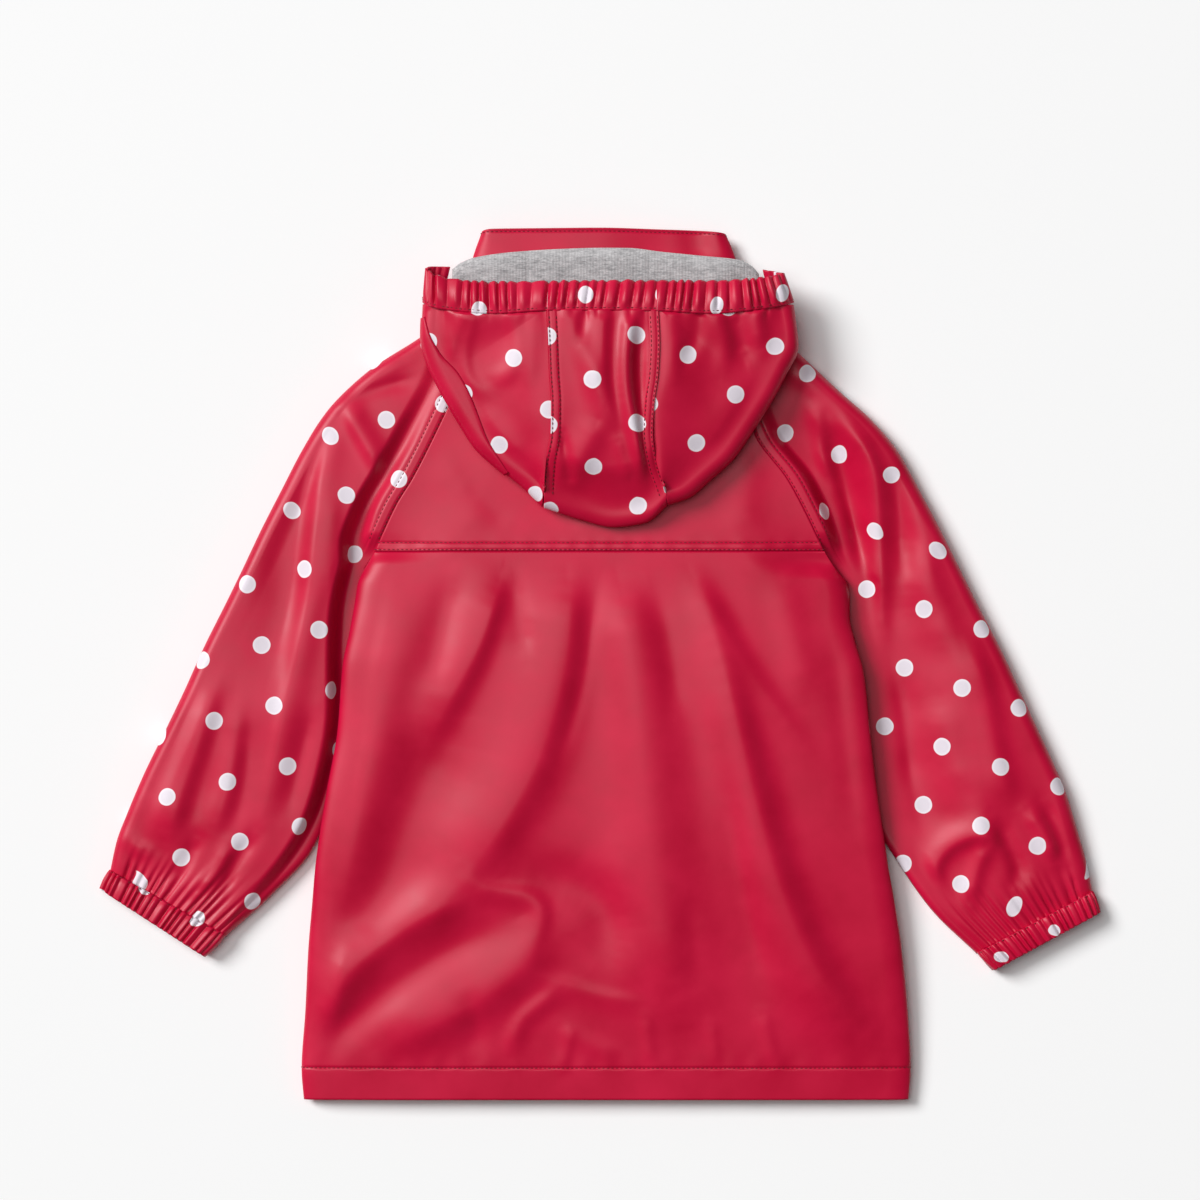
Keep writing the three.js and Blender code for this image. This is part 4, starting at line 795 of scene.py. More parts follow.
def front(half):
    overlap_z = UNDER_Z if half is RIGHT else OVER_Z

    def inward(edge, u):
        onward = lerp(SIDE_ROUND, np.abs(edge) + PLACKET, (u - FRONT_ROUND_SHARE) / (1 - FRONT_ROUND_SHARE))
        return np.where(u < FRONT_ROUND_SHARE, rounded_in(u, FRONT_ROUND_SHARE), onward)

    def surface(u, v):
        if half is LEFT:
            u = 1 - u
        edge_y = lerp(HEM_Y, NECK_Y, v)
        neck_edge = side_at(half, np.array(NECK_Y, float), "x")
        y = lerp(HEM_Y, front_neck_y(neck_edge - half["sign"] * inward(neck_edge, u)), v)
        edge_x = side_at(half, edge_y, "x")
        distance = inward(edge_x, u)
        x = edge_x - half["sign"] * distance
        lift = side_at(half, edge_y, "lift")
        folded = folded_side(half, edge_y)
        edge_z = lerp(lift, side_at(half, edge_y, "z") - SEAM_GAP, folded)
        under = lift * (1 - smooth(distance, LIFT_FROM * folded, LIFT_TO + LIFT_MORE * folded))
        turn = (edge_z - lift) * (1 - quarter(distance / SIDE_ROUND))
        beyond = smooth(np.abs(x), OVERLAP_FLAT, 2 * OVERLAP_FLAT - PLACKET) * (x * half["sign"] > 0)
        overlap = overlap_z * (1 - beyond)
        return np.stack([x, y, under + turn + overlap], axis=-1)

    return surface


front_hem = (HEM_STITCH_Y - HEM_Y) / (NECK_Y - HEM_Y)
for half in (LEFT, RIGHT):
    side_name = half["name"]
    sew_in(
        cloth_shell(
            f"front_{side_name}_cloth",
            front(half),
            spaced((0, 1, 87)),
            spaced((0, front_hem, 12), (front_hem, 1, 120)),
            hem_wall(NECK_Y - HEM_Y),
        ),
        [f"front_{side_name}"],
        plain_red,
    )

# %% [markdown]
# ## The sleeves
# A raglan sleeve runs from the neck over the shoulder to the cuff. Each is one tube, pressed flat:
# its top layer, its outer fold and its under layer. Beside the raglan seam, a strip of the sleeve
# stays as high as the back and carries the topstitched band; then the cloth drops into a trough
# and rises again to its crown.

# %% The sleeves' tables
ARMPIT_STATION = 7
LAST_STATION = 15
SLEEVE_COLUMNS = "k inner_x inner_y outer_x outer_y trough crown strip edge"
LEFT["sleeve"] = table(
    SLEEVE_COLUMNS,
    (0, -73, 236, -86, 245, 14, 14.5, 1, 0),
    (1, -83, 209, -118.7, 219, 14.5, 15.5, 6, 0),
    (2, -100, 173, -154, 196, 14, 16.5, 8, 0),
    (3, -113, 147, -182, 169, 13, 18, 8, 0),
    (4, -125, 123, -198.7, 143, 12, 19, 9, 0),
    (5, -134, 105, -212.7, 116, 11, 20, 9, 0),
    (6, -145, 86, -226, 90, 9, 20, 7, 0),
    (7, -157, 64, -239, 62.5, 8, 20, 1, 7.6),
    (8, -158, 38, -250, 40, 7.5, 20, 2, 5.2),
    (9, -160, 8, -264, 12, 7.5, 20, 4, 5),
    (10, -164, -26, -278, -19, 7.5, 20, 6, 5),
    (11, -170, -60, -291.5, -47, 7.5, 19, 8, 5),
    (12, -179, -94, -303.8, -72, 7.8, 18, 6, 5),
    (13, -192.5, -124.5, -315, -98, 9, 17, 1, 5.5),
    (14, -219, -154, -323, -119, 10, 15, 0, 5.5),
    (15, -249.5, -181.5, -327.3, -138.3, 10, 12, 0, 5.5),
)
RIGHT["sleeve"] = table(
    SLEEVE_COLUMNS,
    (0, 74, 236, 92, 246, 14, 14.5, 1, 0),
    (1, 83, 209, 131, 209, 14, 15.5, 6, 0),
    (2, 96, 173, 158.7, 183, 12, 16.5, 8, 0),
    (3, 107, 147, 182, 162, 10, 18, 8, 0),
    (4, 124.5, 123, 198, 143, 8, 19, 8, 0),
    (5, 135, 105, 213.3, 116, 7.5, 19, 8, 0),
    (6, 144, 86, 227, 90, 7.5, 19, 6, 0),
    (7, 165, 54, 244, 56, 7.5, 18, 1, 7.6),
    (8, 162, 28, 255, 34, 7.5, 18, 6, 5.2),
    (9, 165, -4, 269, 7, 7.5, 18, 10, 5),
    (10, 169, -38, 284, -26, 7.5, 18, 12, 5),
    (11, 174, -72, 298.5, -57, 7.5, 18, 12, 5),
    (12, 182, -104, 311, -86, 7.8, 18, 9, 5),
    (13, 197, -129.5, 318.5, -110, 9, 17, 1, 5.5),
    (14, 222, -165, 325, -133, 10, 15, 0, 5.5),
    (15, 251.3, -193.3, 329, -152.3, 10, 12, 0, 5.5),
)

# %% [markdown]
# Creases of the sleeves start at the shoulder, run along the arm and end in the cuff's puckers.

# %% Folds of the sleeves
LEFT["folds"] = [
    fold([(-174, 180), (-162, 158), (-149, 136), (-144, 118)], 9, 6, 3.4, (0.2, 0.4)),
    fold([(-176, 178), (-152, 192), (-128, 204)], 5, 5, 2.4, (0.2, 0.3)),
    fold([(-174, 176), (-150, 184), (-120, 190)], 4, 6, -1.5, (0.2, 0.3)),
    fold(
        [(-173, 178), (-184, 135), (-188, 92), (-192, 48), (-201, 4), (-211, -39), (-220, -83), (-232, -145)],
        (11, 13), 6, 2.2, (0.15, 0.35),
    ),
    fold([(-186, 165), (-199, 128), (-203, 92), (-207, 48), (-218, 4), (-230, -40)], 9, 20, -4.4, (0.2, 0.4)),
    fold([(-254, 0), (-264, -40), (-280, -86), (-292, -126)], 9, 15, 4.4, (0.3, 0.25)),
    fold([(-243, -18), (-241, -50), (-250, -92), (-264, -122)], 8, 10, 2.6, (0.25, 0.3)),
    fold([(-236, -35), (-236, -80), (-247, -118)], 6, 7, -1.0),
    fold([(-188, -25), (-201, -74), (-212, -110)], 11, 9, -1.8),
    fold([(-168, 40), (-176, -10), (-180, -45)], 6, 8, 1.8),
    fold([(-178, 120), (-178, 80), (-180, 40)], 7, 8, 1.2),
    fold([(-306, -88), (-318, -104), (-312, -122), (-302, -126)], 5, 5, 2.2),
    fold([(-268, -116), (-276, -134), (-286, -146)], 5, 6, -2.2),
    fold([(-246, -120), (-256, -140), (-268, -152)], 5, 6, 2.2),
    fold([(-228, -112), (-244, -134), (-252, -156)], 5, 6, -2.0),
]
RIGHT["folds"] = [
    fold([(122, 200), (144, 190), (166, 172), (188, 154), (198, 138)], 10, 8, 3.4, (0.2, 0.3)),
    fold([(150, 168), (168, 156), (181, 138), (185, 92), (187, 48), (190, 5)], 7, 8, 4.2, (0.2, 0.35)),
    fold([(140, 178), (148, 150), (152, 118)], 7, 6, 2.4),
    fold([(146, 160), (160, 140), (170, 96), (174, 50)], 8, 7, -4, (0.2, 0.35)),
    fold([(198, 146), (201, 92), (206, 30)], 9, 7, -3.4, (0.25, 0.4)),
    fold([(214, 90), (222, 40), (230, 0)], 12, 16, 1.6),
    fold([(226, -20), (232, -62), (246, -88)], 12, 14, 1.8),
    fold([(244, 30), (256, -20), (263, -62), (276, -104)], 9, 14, 3.2, (0.3, 0.25)),
    fold([(222, -152), (223, -132), (236, -118), (256, -112), (270, -122)], 10, 6, 3.2, (0.25, 0.3)),
    fold([(258, -118), (250, -138), (246, -160)], 6, 6, 2.6),
    fold([(262, -100), (272, -118), (280, -138), (276, -152)], 7, 6, -2.8),
    fold([(284, -96), (296, -112), (304, -132)], 6, 6, 2.6),
    fold([(296, -90), (308, -112), (312, -134)], 5, 6, -2.4),
    fold([(200, 0), (208, -50), (206, -90)], 8, 9, -1.2),
]


# %% The sleeves' form
TOP_SHARE = 8 / 17
TURN_SHARE = 4 / 17
UNDERARM_ROUND = 6
UNDERARM_SLOPE = 35
SLEEVE_TURN = 9
TURN_LIMIT = 0.35
BEND = 0.07
SINK_FROM = 1.1
STRIP_SLOPE = 9
CROWN_SLOPE = {"left": 10, "right": 48}
TROUGH_MORE = {"left": 1.5, "right": 9}
SLOPE_SHARE = {"upper": 0.88, "lower": 0.74}
EASE = 0.07
LOWER_FILL = {"left": 0.75, "right": 0}
FOLD_CLEAR = 22
OUTER_FALL = 3
OUTER_FALL_FROM = 0.3
SEAM_BAND = 6.5
SLEEVE_ROW_PAST_BAND = 0.3
SLEEVE_WAVES = {"height": 0.5, "size": 48, "seed": 12}
PUCKER = {"height": 1.5, "from": 13.5, "power": 1.5, "edge": 12, "seed": 21}
CUFF_GATHERS = 34


def sleeve_station(half, t):
    k = t * LAST_STATION
    sleeve = half["sleeve"]

    def read(column):
        return look_up(sleeve, "k", k, column)

    inner_y = read("inner_y")
    upper = k < ARMPIT_STATION
    sink = smooth(k, ARMPIT_STATION - SINK_FROM, ARMPIT_STATION)
    armpit_edge = look_up(sleeve, "k", np.array(float(ARMPIT_STATION)), "edge")
    edge = read("edge")
    upper_top = lerp(side_at(half, inner_y, "z"), armpit_edge + SEAM_GAP, sink)
    upper_bottom = lerp(side_at(half, inner_y, "lift"), armpit_edge - SEAM_GAP, sink)
    return {
        "k": k,
        "inner_x": np.where(upper, side_at(half, inner_y, "x") + half["sign"] * SEAM_GAP, read("inner_x")),
        "inner_y": inner_y,
        "outer_x": read("outer_x"),
        "outer_y": read("outer_y"),
        "top": np.where(upper, upper_top, edge + SEAM_GAP / 2),
        "bottom": np.where(upper, upper_bottom, edge - SEAM_GAP / 2),
        "folded": np.where(upper, sink, 1.0),
        "trough": read("trough"),
        "crown": read("crown"),
        "strip": read("strip"),
    }


def eased_start(half, t):
    """How far the inner edge lies from its own mean nearby, so that its bend at the armpit doesn't show."""
    own = sleeve_station(half, t)["inner_x"]
    places = [np.clip(t + step, 0, 1) for step in np.linspace(-EASE, EASE, 9)]
    mean = sum(sleeve_station(half, place)["inner_x"] for place in places) / len(places)
    return (mean - own) * half["sign"]


def section_point(station, v, top_at):
    """A point of the tube's section: over the top from the inner edge, round the outer fold, back below."""
    ix, iy, ox, oy = (station[name] for name in ("inner_x", "inner_y", "outer_x", "outer_y"))
    length = np.hypot(ox - ix, oy - iy)
    turn = np.minimum(SLEEVE_TURN, length * TURN_LIMIT)
    flat = length - turn
    folded = station["folded"]

    def bottom_at(e):
        rise = folded * quarter(e / UNDERARM_ROUND) + (1 - folded) * smooth(e, 0, UNDERARM_SLOPE)
        return station["bottom"] * (1 - rise)

    def bent(q):
        return flat * (q * (1 - BEND) + BEND * q * q)

    e_top = bent(np.clip(v / TOP_SHARE, 0, 1))
    angle = np.pi * np.clip((v - TOP_SHARE) / TURN_SHARE, 0, 1)
    high = top_at(flat)
    low = bottom_at(flat)
    e_turn = flat + turn * np.sin(angle)
    z_turn = (high + low) / 2 + (high - low) / 2 * np.cos(angle)
    e_bottom = bent(np.clip((1 - v) / (1 - TOP_SHARE - TURN_SHARE), 0, 1))
    turned = TOP_SHARE + TURN_SHARE
    e = by_part(v, TOP_SHARE, turned, e_top, e_turn, e_bottom)
    z = by_part(v, TOP_SHARE, turned, top_at(e_top), z_turn, bottom_at(e_bottom))
    return np.stack([lerp(ix, ox, e / length), lerp(iy, oy, e / length), z], axis=-1)


def sleeve_surface(half, t, v):
    station = sleeve_station(half, t)
    k = station["k"]
    ix, iy, ox, oy = (station[name] for name in ("inner_x", "inner_y", "outer_x", "outer_y"))
    length = np.hypot(ox - ix, oy - iy)
    strip = station["strip"]
    on_seam = 1 - smooth(k, ARMPIT_STATION - 0.9, ARMPIT_STATION - 0.3)
    side = half["name"]
    step_end = strip + STRIP_SLOPE
    lower_start = 1 - LOWER_FILL[side] * smooth(k, 8, 11)
    rise_from = step_end * lower_start + TROUGH_MORE[side] * smooth(k, 2, 7) + eased_start(half, t)
    slope_share = lerp(SLOPE_SHARE["upper"], SLOPE_SHARE["lower"], smooth(k, 6, 10))
    rise_to = np.minimum(rise_from + CROWN_SLOPE[side], length * slope_share)
    puckered = smooth(k, PUCKER["from"], LAST_STATION) ** PUCKER["power"]

    def top_at(e):
        leave = lerp(smooth(e, strip, step_end), quarter(e / UNDERARM_ROUND), station["folded"])
        high = smooth(e, rise_from, rise_to)
        x = lerp(ix, ox, e / length)
        y = lerp(iy, oy, e / length)
        clear = smooth(e, step_end, strip + FOLD_CLEAR) * (1 - smooth(e, length - FOLD_CLEAR, length))
        band = (
            YOKE_BAND_RISE * smooth(e, 0.2, ROW_IN) * (1 - smooth(e, SEAM_BAND, SEAM_BAND + BAND_EDGE))
            + pressed_line(e - ROW_IN)
            + pressed_line(e - SEAM_BAND - SLEEVE_ROW_PAST_BAND)
        )
        drawn = gathers(e / length / 2, CUFF_GATHERS, PUCKER["seed"] + half["sign"])
        pucker = PUCKER["height"] * drawn * puckered
        waves = undulation(x, y, SLEEVE_WAVES["size"], SLEEVE_WAVES["seed"] + half["sign"])
        return (
            lerp(station["top"], station["trough"], leave)
            + (station["crown"] - station["trough"]) * high
            + fold_height(half["folds"], x, y) * clear
            - OUTER_FALL * smooth(e / length, OUTER_FALL_FROM, 1) * smooth(k, 1, 4)
            + pucker * smooth(e, 0, PUCKER["edge"]) * (1 - smooth(e, length - PUCKER["edge"], length))
            + band * on_seam
            + SLEEVE_WAVES["height"] * waves * clear
        )

    return section_point(station, v, top_at)


def around_sleeve(half, u):
    return u if half is LEFT else 1 - u


def sleeve_place(half):
    """A point's place in the flat cloth: its way round the section, laid out from the inner edge."""

    def place(u, v, points):
        station = sleeve_station(half, v)
        onward = 1 if half is LEFT else -1
        way = walked(points[:, ::onward], 1)[:, ::onward]
        across_x = station["outer_x"] - station["inner_x"]
        across_y = station["outer_y"] - station["inner_y"]
        length = np.hypot(across_x, across_y)
        x = station["inner_x"] + across_x / length * way
        y = station["inner_y"] + across_y / length * way
        return np.stack([x, y], axis=-1)

    return place


# %% The sleeves
SLEEVE_DOTS = {"left": (0.54, 0.0326, 0.0509), "right": (-0.46, 0.0225, 0.0052)}
turned_share = TOP_SHARE + TURN_SHARE
around_values = spaced(
    (0, 0.05, 22), (0.05, TOP_SHARE, 74), (TOP_SHARE, turned_share, 22), (turned_share, 1, 32)
)
dotted = {}
for half in (LEFT, RIGHT):
    side_name = half["name"]
    dotted[side_name] = coated(f"coated red with dots, {side_name}", SLEEVE_DOTS[side_name])
    around_columns = around_values if half is LEFT else (1 - around_values)[::-1]
    sew_in(
        cloth_shell(
            f"sleeve_{side_name}_cloth",
            lambda u, v, half=half: sleeve_surface(half, v, around_sleeve(half, u)),
            around_columns,
            spaced((0, 0.85, 240), (0.85, 1, 60)),
            CLOTH,
            flat_place=sleeve_place(half),
        ),
        [f"sleeve_{side_name}_top", f"sleeve_{side_name}_under"],
        dotted[side_name],
    )

# %% [markdown]
# ## The cuffs
# Elastic in a casing draws each cuff into about three dozen small gathers. They are uneven, and
# deepest between the stitched row and the edge.

# %% The cuffs
CUFF_EDGES = {
    "left": {"inner": (-263.7, -195.3), "outer": (-333.6, -150.0)},
    "right": {"inner": (262.0, -204.7), "outer": (333.7, -165.8)},
}
CUFF_LEAD = -0.9
CUFF_DEPTH = 1.3
CUFF_LIFT = 1.0
CUFF_LIFT_AT_SEAM = 0.4
CUFF_CROWN = 12.5
CUFF_SWELL = 0.7
CUFF_CASING = 21
CUFF_SEED = 30


def gathered(surface, ripple):
    def made(u, v):
        points = surface(u, v)
        return points + outward(points) * ripple(u, v)[..., None]

    return made


def down_the_arm(half):
    """The direction from the end of the sleeve to the edge of the cuff."""
    end = sleeve_station(half, np.ones(1))
    away = np.array(CUFF_EDGES[half["name"]]["outer"]) - np.array([end["outer_x"][0], end["outer_y"][0]])
    return away / np.linalg.norm(away)


def cuff(half):
    edge = CUFF_EDGES[half["name"]]

    def plain(u, v):
        station = sleeve_station(half, np.ones(u.shape))
        away = down_the_arm(half)
        for part in ("inner", "outer"):
            for i, axis in enumerate("xy"):
                start = station[f"{part}_{axis}"] + away[i] * CUFF_LEAD
                station[f"{part}_{axis}"] = lerp(start, edge[part][i], v)

        def top_at(e):
            return lerp(station["top"], CUFF_CROWN, quarter(e / UNDERARM_ROUND))

        points = section_point(station, around_sleeve(half, u), top_at)
        points[..., 2] += CUFF_LIFT * lerp(CUFF_LIFT_AT_SEAM, 1, smooth(v, 0, 0.25))
        return points

    def ripple(u, v):
        strength = 0.3 + 0.7 * np.sin(np.pi * np.minimum(v * 1.4 + 0.2, 0.62))
        gather = gathers(u + 0.006 * v, CUFF_GATHERS, CUFF_SEED + half["sign"])
        return CUFF_DEPTH * strength * gather + CUFF_SWELL * np.sin(np.pi * v)

    return gathered(plain, ripple)


def cuff_place(half):
    """The cuff's print goes on from the end of the sleeve."""

    def place(u, v, points):
        last = np.ones(u.shape)
        sleeve_end = sleeve_surface(half, last, around_sleeve(half, u))
        from_seam = lerp(CUFF_LEAD, CUFF_CASING, v)[..., None]
        return sleeve_place(half)(u, last, sleeve_end) + from_seam * down_the_arm(half)

    return place


for half in (LEFT, RIGHT):
    side_name = half["name"]
    sew_in(
        cloth_shell(
            f"cuff_{side_name}_casing",
            cuff(half),
            spaced((0, 1, CUFF_GATHERS * 11)),
            spaced((0, 1, 15)),
            CASING_CLOTH,
            inner_step=1,
            flat_place=cuff_place(half),
        ),
        [f"cuff_{side_name}"],
        dotted[side_name],
    )

# %% [markdown]
# ## The hood
# The hood has a centre panel and two side panels. Folded back, it is a flat pouch: a near layer, a
# rolled rim and a far layer beneath. The seams beside the centre panel are topstitched bands.

# %% The hood's tables
HOOD_ROLL = 9
HOOD_RIM_TOP = 37
HOOD_FAR_Z = 22.3
HOOD_CORNER = 6
HOOD_LAST = 9
MOUTH_SEAM_Y = 234.3
HOOD_COLUMNS = "k near_x near_y rim_x rim_y far_y near_z"
HOOD_SIDES = {
    "left": table(
        HOOD_COLUMNS,
        (0, -36.5, 118, -38.4, 104.2, 120, 41), (1, -36, 130, -52, 117.5, 134, 43),
        (2, -32, 150, -68.7, 130.7, 158, 46), (3, -32, 173, -82, 143, 182, 48),
        (4, -33, 195, -92, 158, 210, 48.5), (5, -34, 215, -100, 171.5, 236, 48),
        (6, -34.7, 234.3, -108, 186, 259, 47), (7, -62, 232.5, -114.8, 201, 259, 46),
        (8, -88, 233.8, -118.4, 218, 257, 43), (9, -106, 236.6, -117.6, 238.5, 252, 38.5),
    ),
    "right": table(
        HOOD_COLUMNS,
        (0, 43, 118, 45, 105.6, 120, 41), (1, 38, 130, 58.5, 110, 134, 43.2),
        (2, 35, 150, 74, 122.5, 158, 46), (3, 35.5, 173, 88, 135.3, 182, 48),
        (4, 38, 195, 98, 149, 210, 48.5), (5, 39, 215, 106.5, 162, 236, 48),
        (6, 38.6, 234.3, 115.3, 176.3, 259, 47), (7, 66, 232.7, 123.5, 192, 259, 46),
        (8, 92, 233.9, 131.6, 211, 257, 43), (9, 116, 237.6, 128.6, 238, 252, 38.5),
    ),
}
HOOD_FAR_MOUTH = {
    "left": table("k far_x", (6, -33), (7, -58), (8, -82), (9, -101)),
    "right": table("k far_x", (6, 36), (7, 60), (8, 86), (9, 109)),
}
HOOD_SEAMS = table(
    "y left right",
    (90, -36, 47), (106, -36.2, 46), (116, -36.5, 43), (133, -35.3, 37.2), (153, -31.9, 34.3),
    (173, -31.6, 35.4), (192, -32.7, 38), (212, -33.4, 38.9), (235, -34.4, 37.9),
)
HOOD_SEAM_HEIGHT = table("y z", (90, 38), (118, 41), (130, 43), (150, 46), (173, 48), (200, 48.5), (235, 47))
HOOD_FAR_SEAM = {"left": -33, "right": 36}
HOOD_ROLLED_SEAM = {"left": -36.6, "right": 44.5}
HOOD_FAR_TOP = 259
HOOD_BOTTOM = table("f y", (0, 104), (0.3, 96), (0.55, 91.3), (0.8, 94), (1, 105.5))

# %% Folds of the hood
HOOD_FOLDS = [
    fold([(2, 232), (1, 205), (2, 182), (8, 160), (13, 146)], 6, 10, 3.6, (0.1, 0.4)),
    fold([(20, 232), (17, 205), (17, 182), (22, 158), (27, 134), (28, 118)], 6, 6, 4.6, (0.1, 0.25)),
    fold([(27, 226), (25, 196), (28, 168), (32, 140), (34, 118)], 5, 4, -3, (0.2, 0.25)),
    fold([(-20, 232), (-12, 208), (-3, 188), (-3, 162)], 7, 9, 2.2, (0.1, 0.4)),
    fold([(-1, 162), (-10, 142), (-20, 124)], 9, 10, 2.6, (0.3, 0.3)),
    fold([(-26, 152), (-22, 138), (-20, 124)], 4, 4, -1.8),
    fold([(88, 230), (95, 206)], 7, 8, -2.4),
]
HOOD_CREASES = [
    fold([(-10, 230), (-13, 214)], 3, 4, -1.2, (0.1, 0.5)),
    fold([(-92, 228), (-100, 206), (-98, 190)], 5, 7, 1.8, (0.1, 0.5)),
    fold([(-84, 230), (-91, 205), (-86, 184), (-64, 176)], 5, 6, 1.5, (0.1, 0.4)),
    fold([(-57, 229), (-53, 206), (-60, 190), (-78, 186)], 6, 7, 1.6, (0.1, 0.4)),
    fold([(-45, 228), (-46, 200), (-50, 170)], 6, 7, 1.2, (0.1, 0.5)),
    fold([(-80, 170), (-66, 150), (-50, 134)], 9, 11, 1.4),
    fold([(47, 230), (50, 206), (46, 176)], 6, 7, 1.6, (0.1, 0.5)),
    fold([(66, 229), (62, 210), (52, 196)], 5, 6, -1.4, (0.1, 0.5)),
    fold([(78, 230), (84, 208), (78, 186)], 6, 7, 1.4, (0.1, 0.5)),
    fold([(104, 230), (106, 208)], 6, 6, 1.8, (0.1, 0.5)),
    fold([(96, 200), (84, 168), (62, 140)], 10, 12, 1.5),
    fold([(12, 148), (18, 128)], 4, 5, 1.2),
]
MOUTH_GATHERS = 42
HOOD_PUCKER = {"height": 0.8, "count": 28, "seed": 40, "reach": 13, "half_width": 130}
HOOD_WAVES = {"height": 0.35, "size": 45, "seed": 17}


def hood_detail(x, y):
    """Fine creases, and the puckers that run down from the gathered casing."""
    half_width = HOOD_PUCKER["half_width"]
    pucker = gathers((x + half_width) / (2 * half_width), HOOD_PUCKER["count"], HOOD_PUCKER["seed"])
    near_mouth = smooth(y, MOUTH_SEAM_Y - HOOD_PUCKER["reach"], MOUTH_SEAM_Y + 3) ** 2
    waves = HOOD_WAVES["height"] * undulation(x, y, HOOD_WAVES["size"], HOOD_WAVES["seed"])
    return fold_height(HOOD_CREASES, x, y) + HOOD_PUCKER["height"] * pucker * near_mouth + waves


# %% The side panels of the hood
HOOD_NEAR_SHARE = 0.4
HOOD_TURN_SHARE = 0.25
HOOD_FAR_SHARE = 0.35
HOOD_TURN_LIMIT = 0.55
FAR_GAP_SHARE = 0.6


def seam_x(y, side):
    return look_up(HOOD_SEAMS, "y", y, side)


def far_seam_x(y, side):
    return lerp(HOOD_ROLLED_SEAM[side], HOOD_FAR_SEAM[side], smooth(y, 112, 150))


def hood_side(half):
    side = half["name"]
    rows = HOOD_SIDES[side]

    def surface(u, v):
        k = (1 - v if half is LEFT else v) * HOOD_LAST
        row = {column: look_up(rows, "k", k, column) for column in HOOD_COLUMNS.split()[1:]}
        on_seam = k <= HOOD_CORNER
        near_x = np.where(on_seam, seam_x(row["near_y"], side) + half["sign"] * SEAM_GAP, row["near_x"])
        near_z = np.where(on_seam, look_up(HOOD_SEAM_HEIGHT, "y", row["near_y"], "z"), row["near_z"])
        far_x = np.where(
            on_seam,
            far_seam_x(row["far_y"], side) + half["sign"] * SEAM_GAP * FAR_GAP_SHARE,
            look_up(HOOD_FAR_MOUTH[side], "k", k, "far_x"),
        )
        near = np.stack([near_x, row["near_y"]], axis=-1)
        rim = np.stack([row["rim_x"], row["rim_y"]], axis=-1)
        far = np.stack([far_x, row["far_y"]], axis=-1)
        length = np.linalg.norm(rim - near, axis=-1)
        far_length = np.linalg.norm(rim - far, axis=-1)
        turn = np.minimum(HOOD_ROLL, length * HOOD_TURN_LIMIT)
        flat = length - turn
        near_flat = near + (rim - near) * (flat / length)[..., None]
        far_end = far + (rim - far) * ((far_length - turn) / far_length)[..., None]
        e = np.clip(u / HOOD_NEAR_SHARE, 0, 1) * flat
        on_near = near + (rim - near) * (e / length)[..., None]
        x, y = on_near[..., 0], on_near[..., 1]
        z_near = lerp(near_z, HOOD_RIM_TOP, smooth(e, 0, flat)) + (
            fold_height(HOOD_FOLDS, x, y) + hood_detail(x, y) * smooth(e, 0, 6)
        ) * smooth(flat - e, 0, 12)
        middle = (HOOD_RIM_TOP + HOOD_FAR_Z) / 2
        deep = (HOOD_RIM_TOP - HOOD_FAR_Z) / 2
        angle = np.pi * np.clip((u - HOOD_NEAR_SHARE) / HOOD_TURN_SHARE, 0, 1)
        on_turn = near_flat + (far_end - near_flat) * ((1 - np.cos(angle)) / 2)[..., None]
        on_turn = on_turn + (rim - on_turn) * np.sin(angle)[..., None]
        past = np.clip((u - HOOD_NEAR_SHARE - HOOD_TURN_SHARE) / HOOD_FAR_SHARE, 0, 1)
        on_far = far_end + (far - far_end) * past[..., None]
        turned = HOOD_NEAR_SHARE + HOOD_TURN_SHARE
        flat_point = by_part(u[..., None], HOOD_NEAR_SHARE, turned, on_near, on_turn, on_far)
        z = by_part(u, HOOD_NEAR_SHARE, turned, z_near, middle + deep * np.cos(angle), HOOD_FAR_Z)
        return np.concatenate([flat_point, z[..., None]], axis=-1)

    return surface


def hood_side_place(u, v, points):
    """Way along each section from the seam, laid out from the seam's own point."""
    start = points[:, :1, :2]
    reach = int(points.shape[1] * HOOD_NEAR_SHARE)
    heading = points[:, reach:reach + 1, :2] - start
    heading = heading / np.linalg.norm(heading, axis=2, keepdims=True)
    return start + heading * walked(points, 1)[..., None]


HOOD_DOTS = {
    "left": (0.18, 0.0341, 0.045),
    "right": (-0.1, 0.009, 0.0073),
    "centre": (-0.01, 0.0323, 0.0169),
}
hood_columns = spaced(
    (0, HOOD_NEAR_SHARE, 63), (HOOD_NEAR_SHARE, HOOD_NEAR_SHARE + HOOD_TURN_SHARE, 18),
    (HOOD_NEAR_SHARE + HOOD_TURN_SHARE, 1, 24)
)
for half in (LEFT, RIGHT):
    side_name = half["name"]
    dotted[f"hood {side_name}"] = coated(f"hood dots {side_name}", HOOD_DOTS[side_name])
    sew_in(
        cloth_shell(
            f"hood_{side_name}_panel",
            hood_side(half),
            hood_columns,
            spaced((0, 1, 150)),
            CLOTH,
            flat_place=hood_side_place,
        ),
        [f"hood_{side_name}"],
        dotted[f"hood {side_name}"],
    )

# %% [markdown]
# The centre panel runs over the same form between its two seams. Its outer five millimetres on
# each side are the stitched bands. It laps over the side panels by half a millimetre.

# %% The centre panel of the hood
NEAR_SHARE = 0.45
ROLL_SHARE = 0.17
HOOD_BAND = 5.2
HOOD_OVERLAP = 0.5
HOOD_OVER = 0.4
HOOD_SAG = 6
HOOD_SAG_REACH = 32
HOOD_BAND_RISE = 0.6
HOOD_ROW_IN = 1.0
HOOD_ROW_PAST_BAND = 0.3


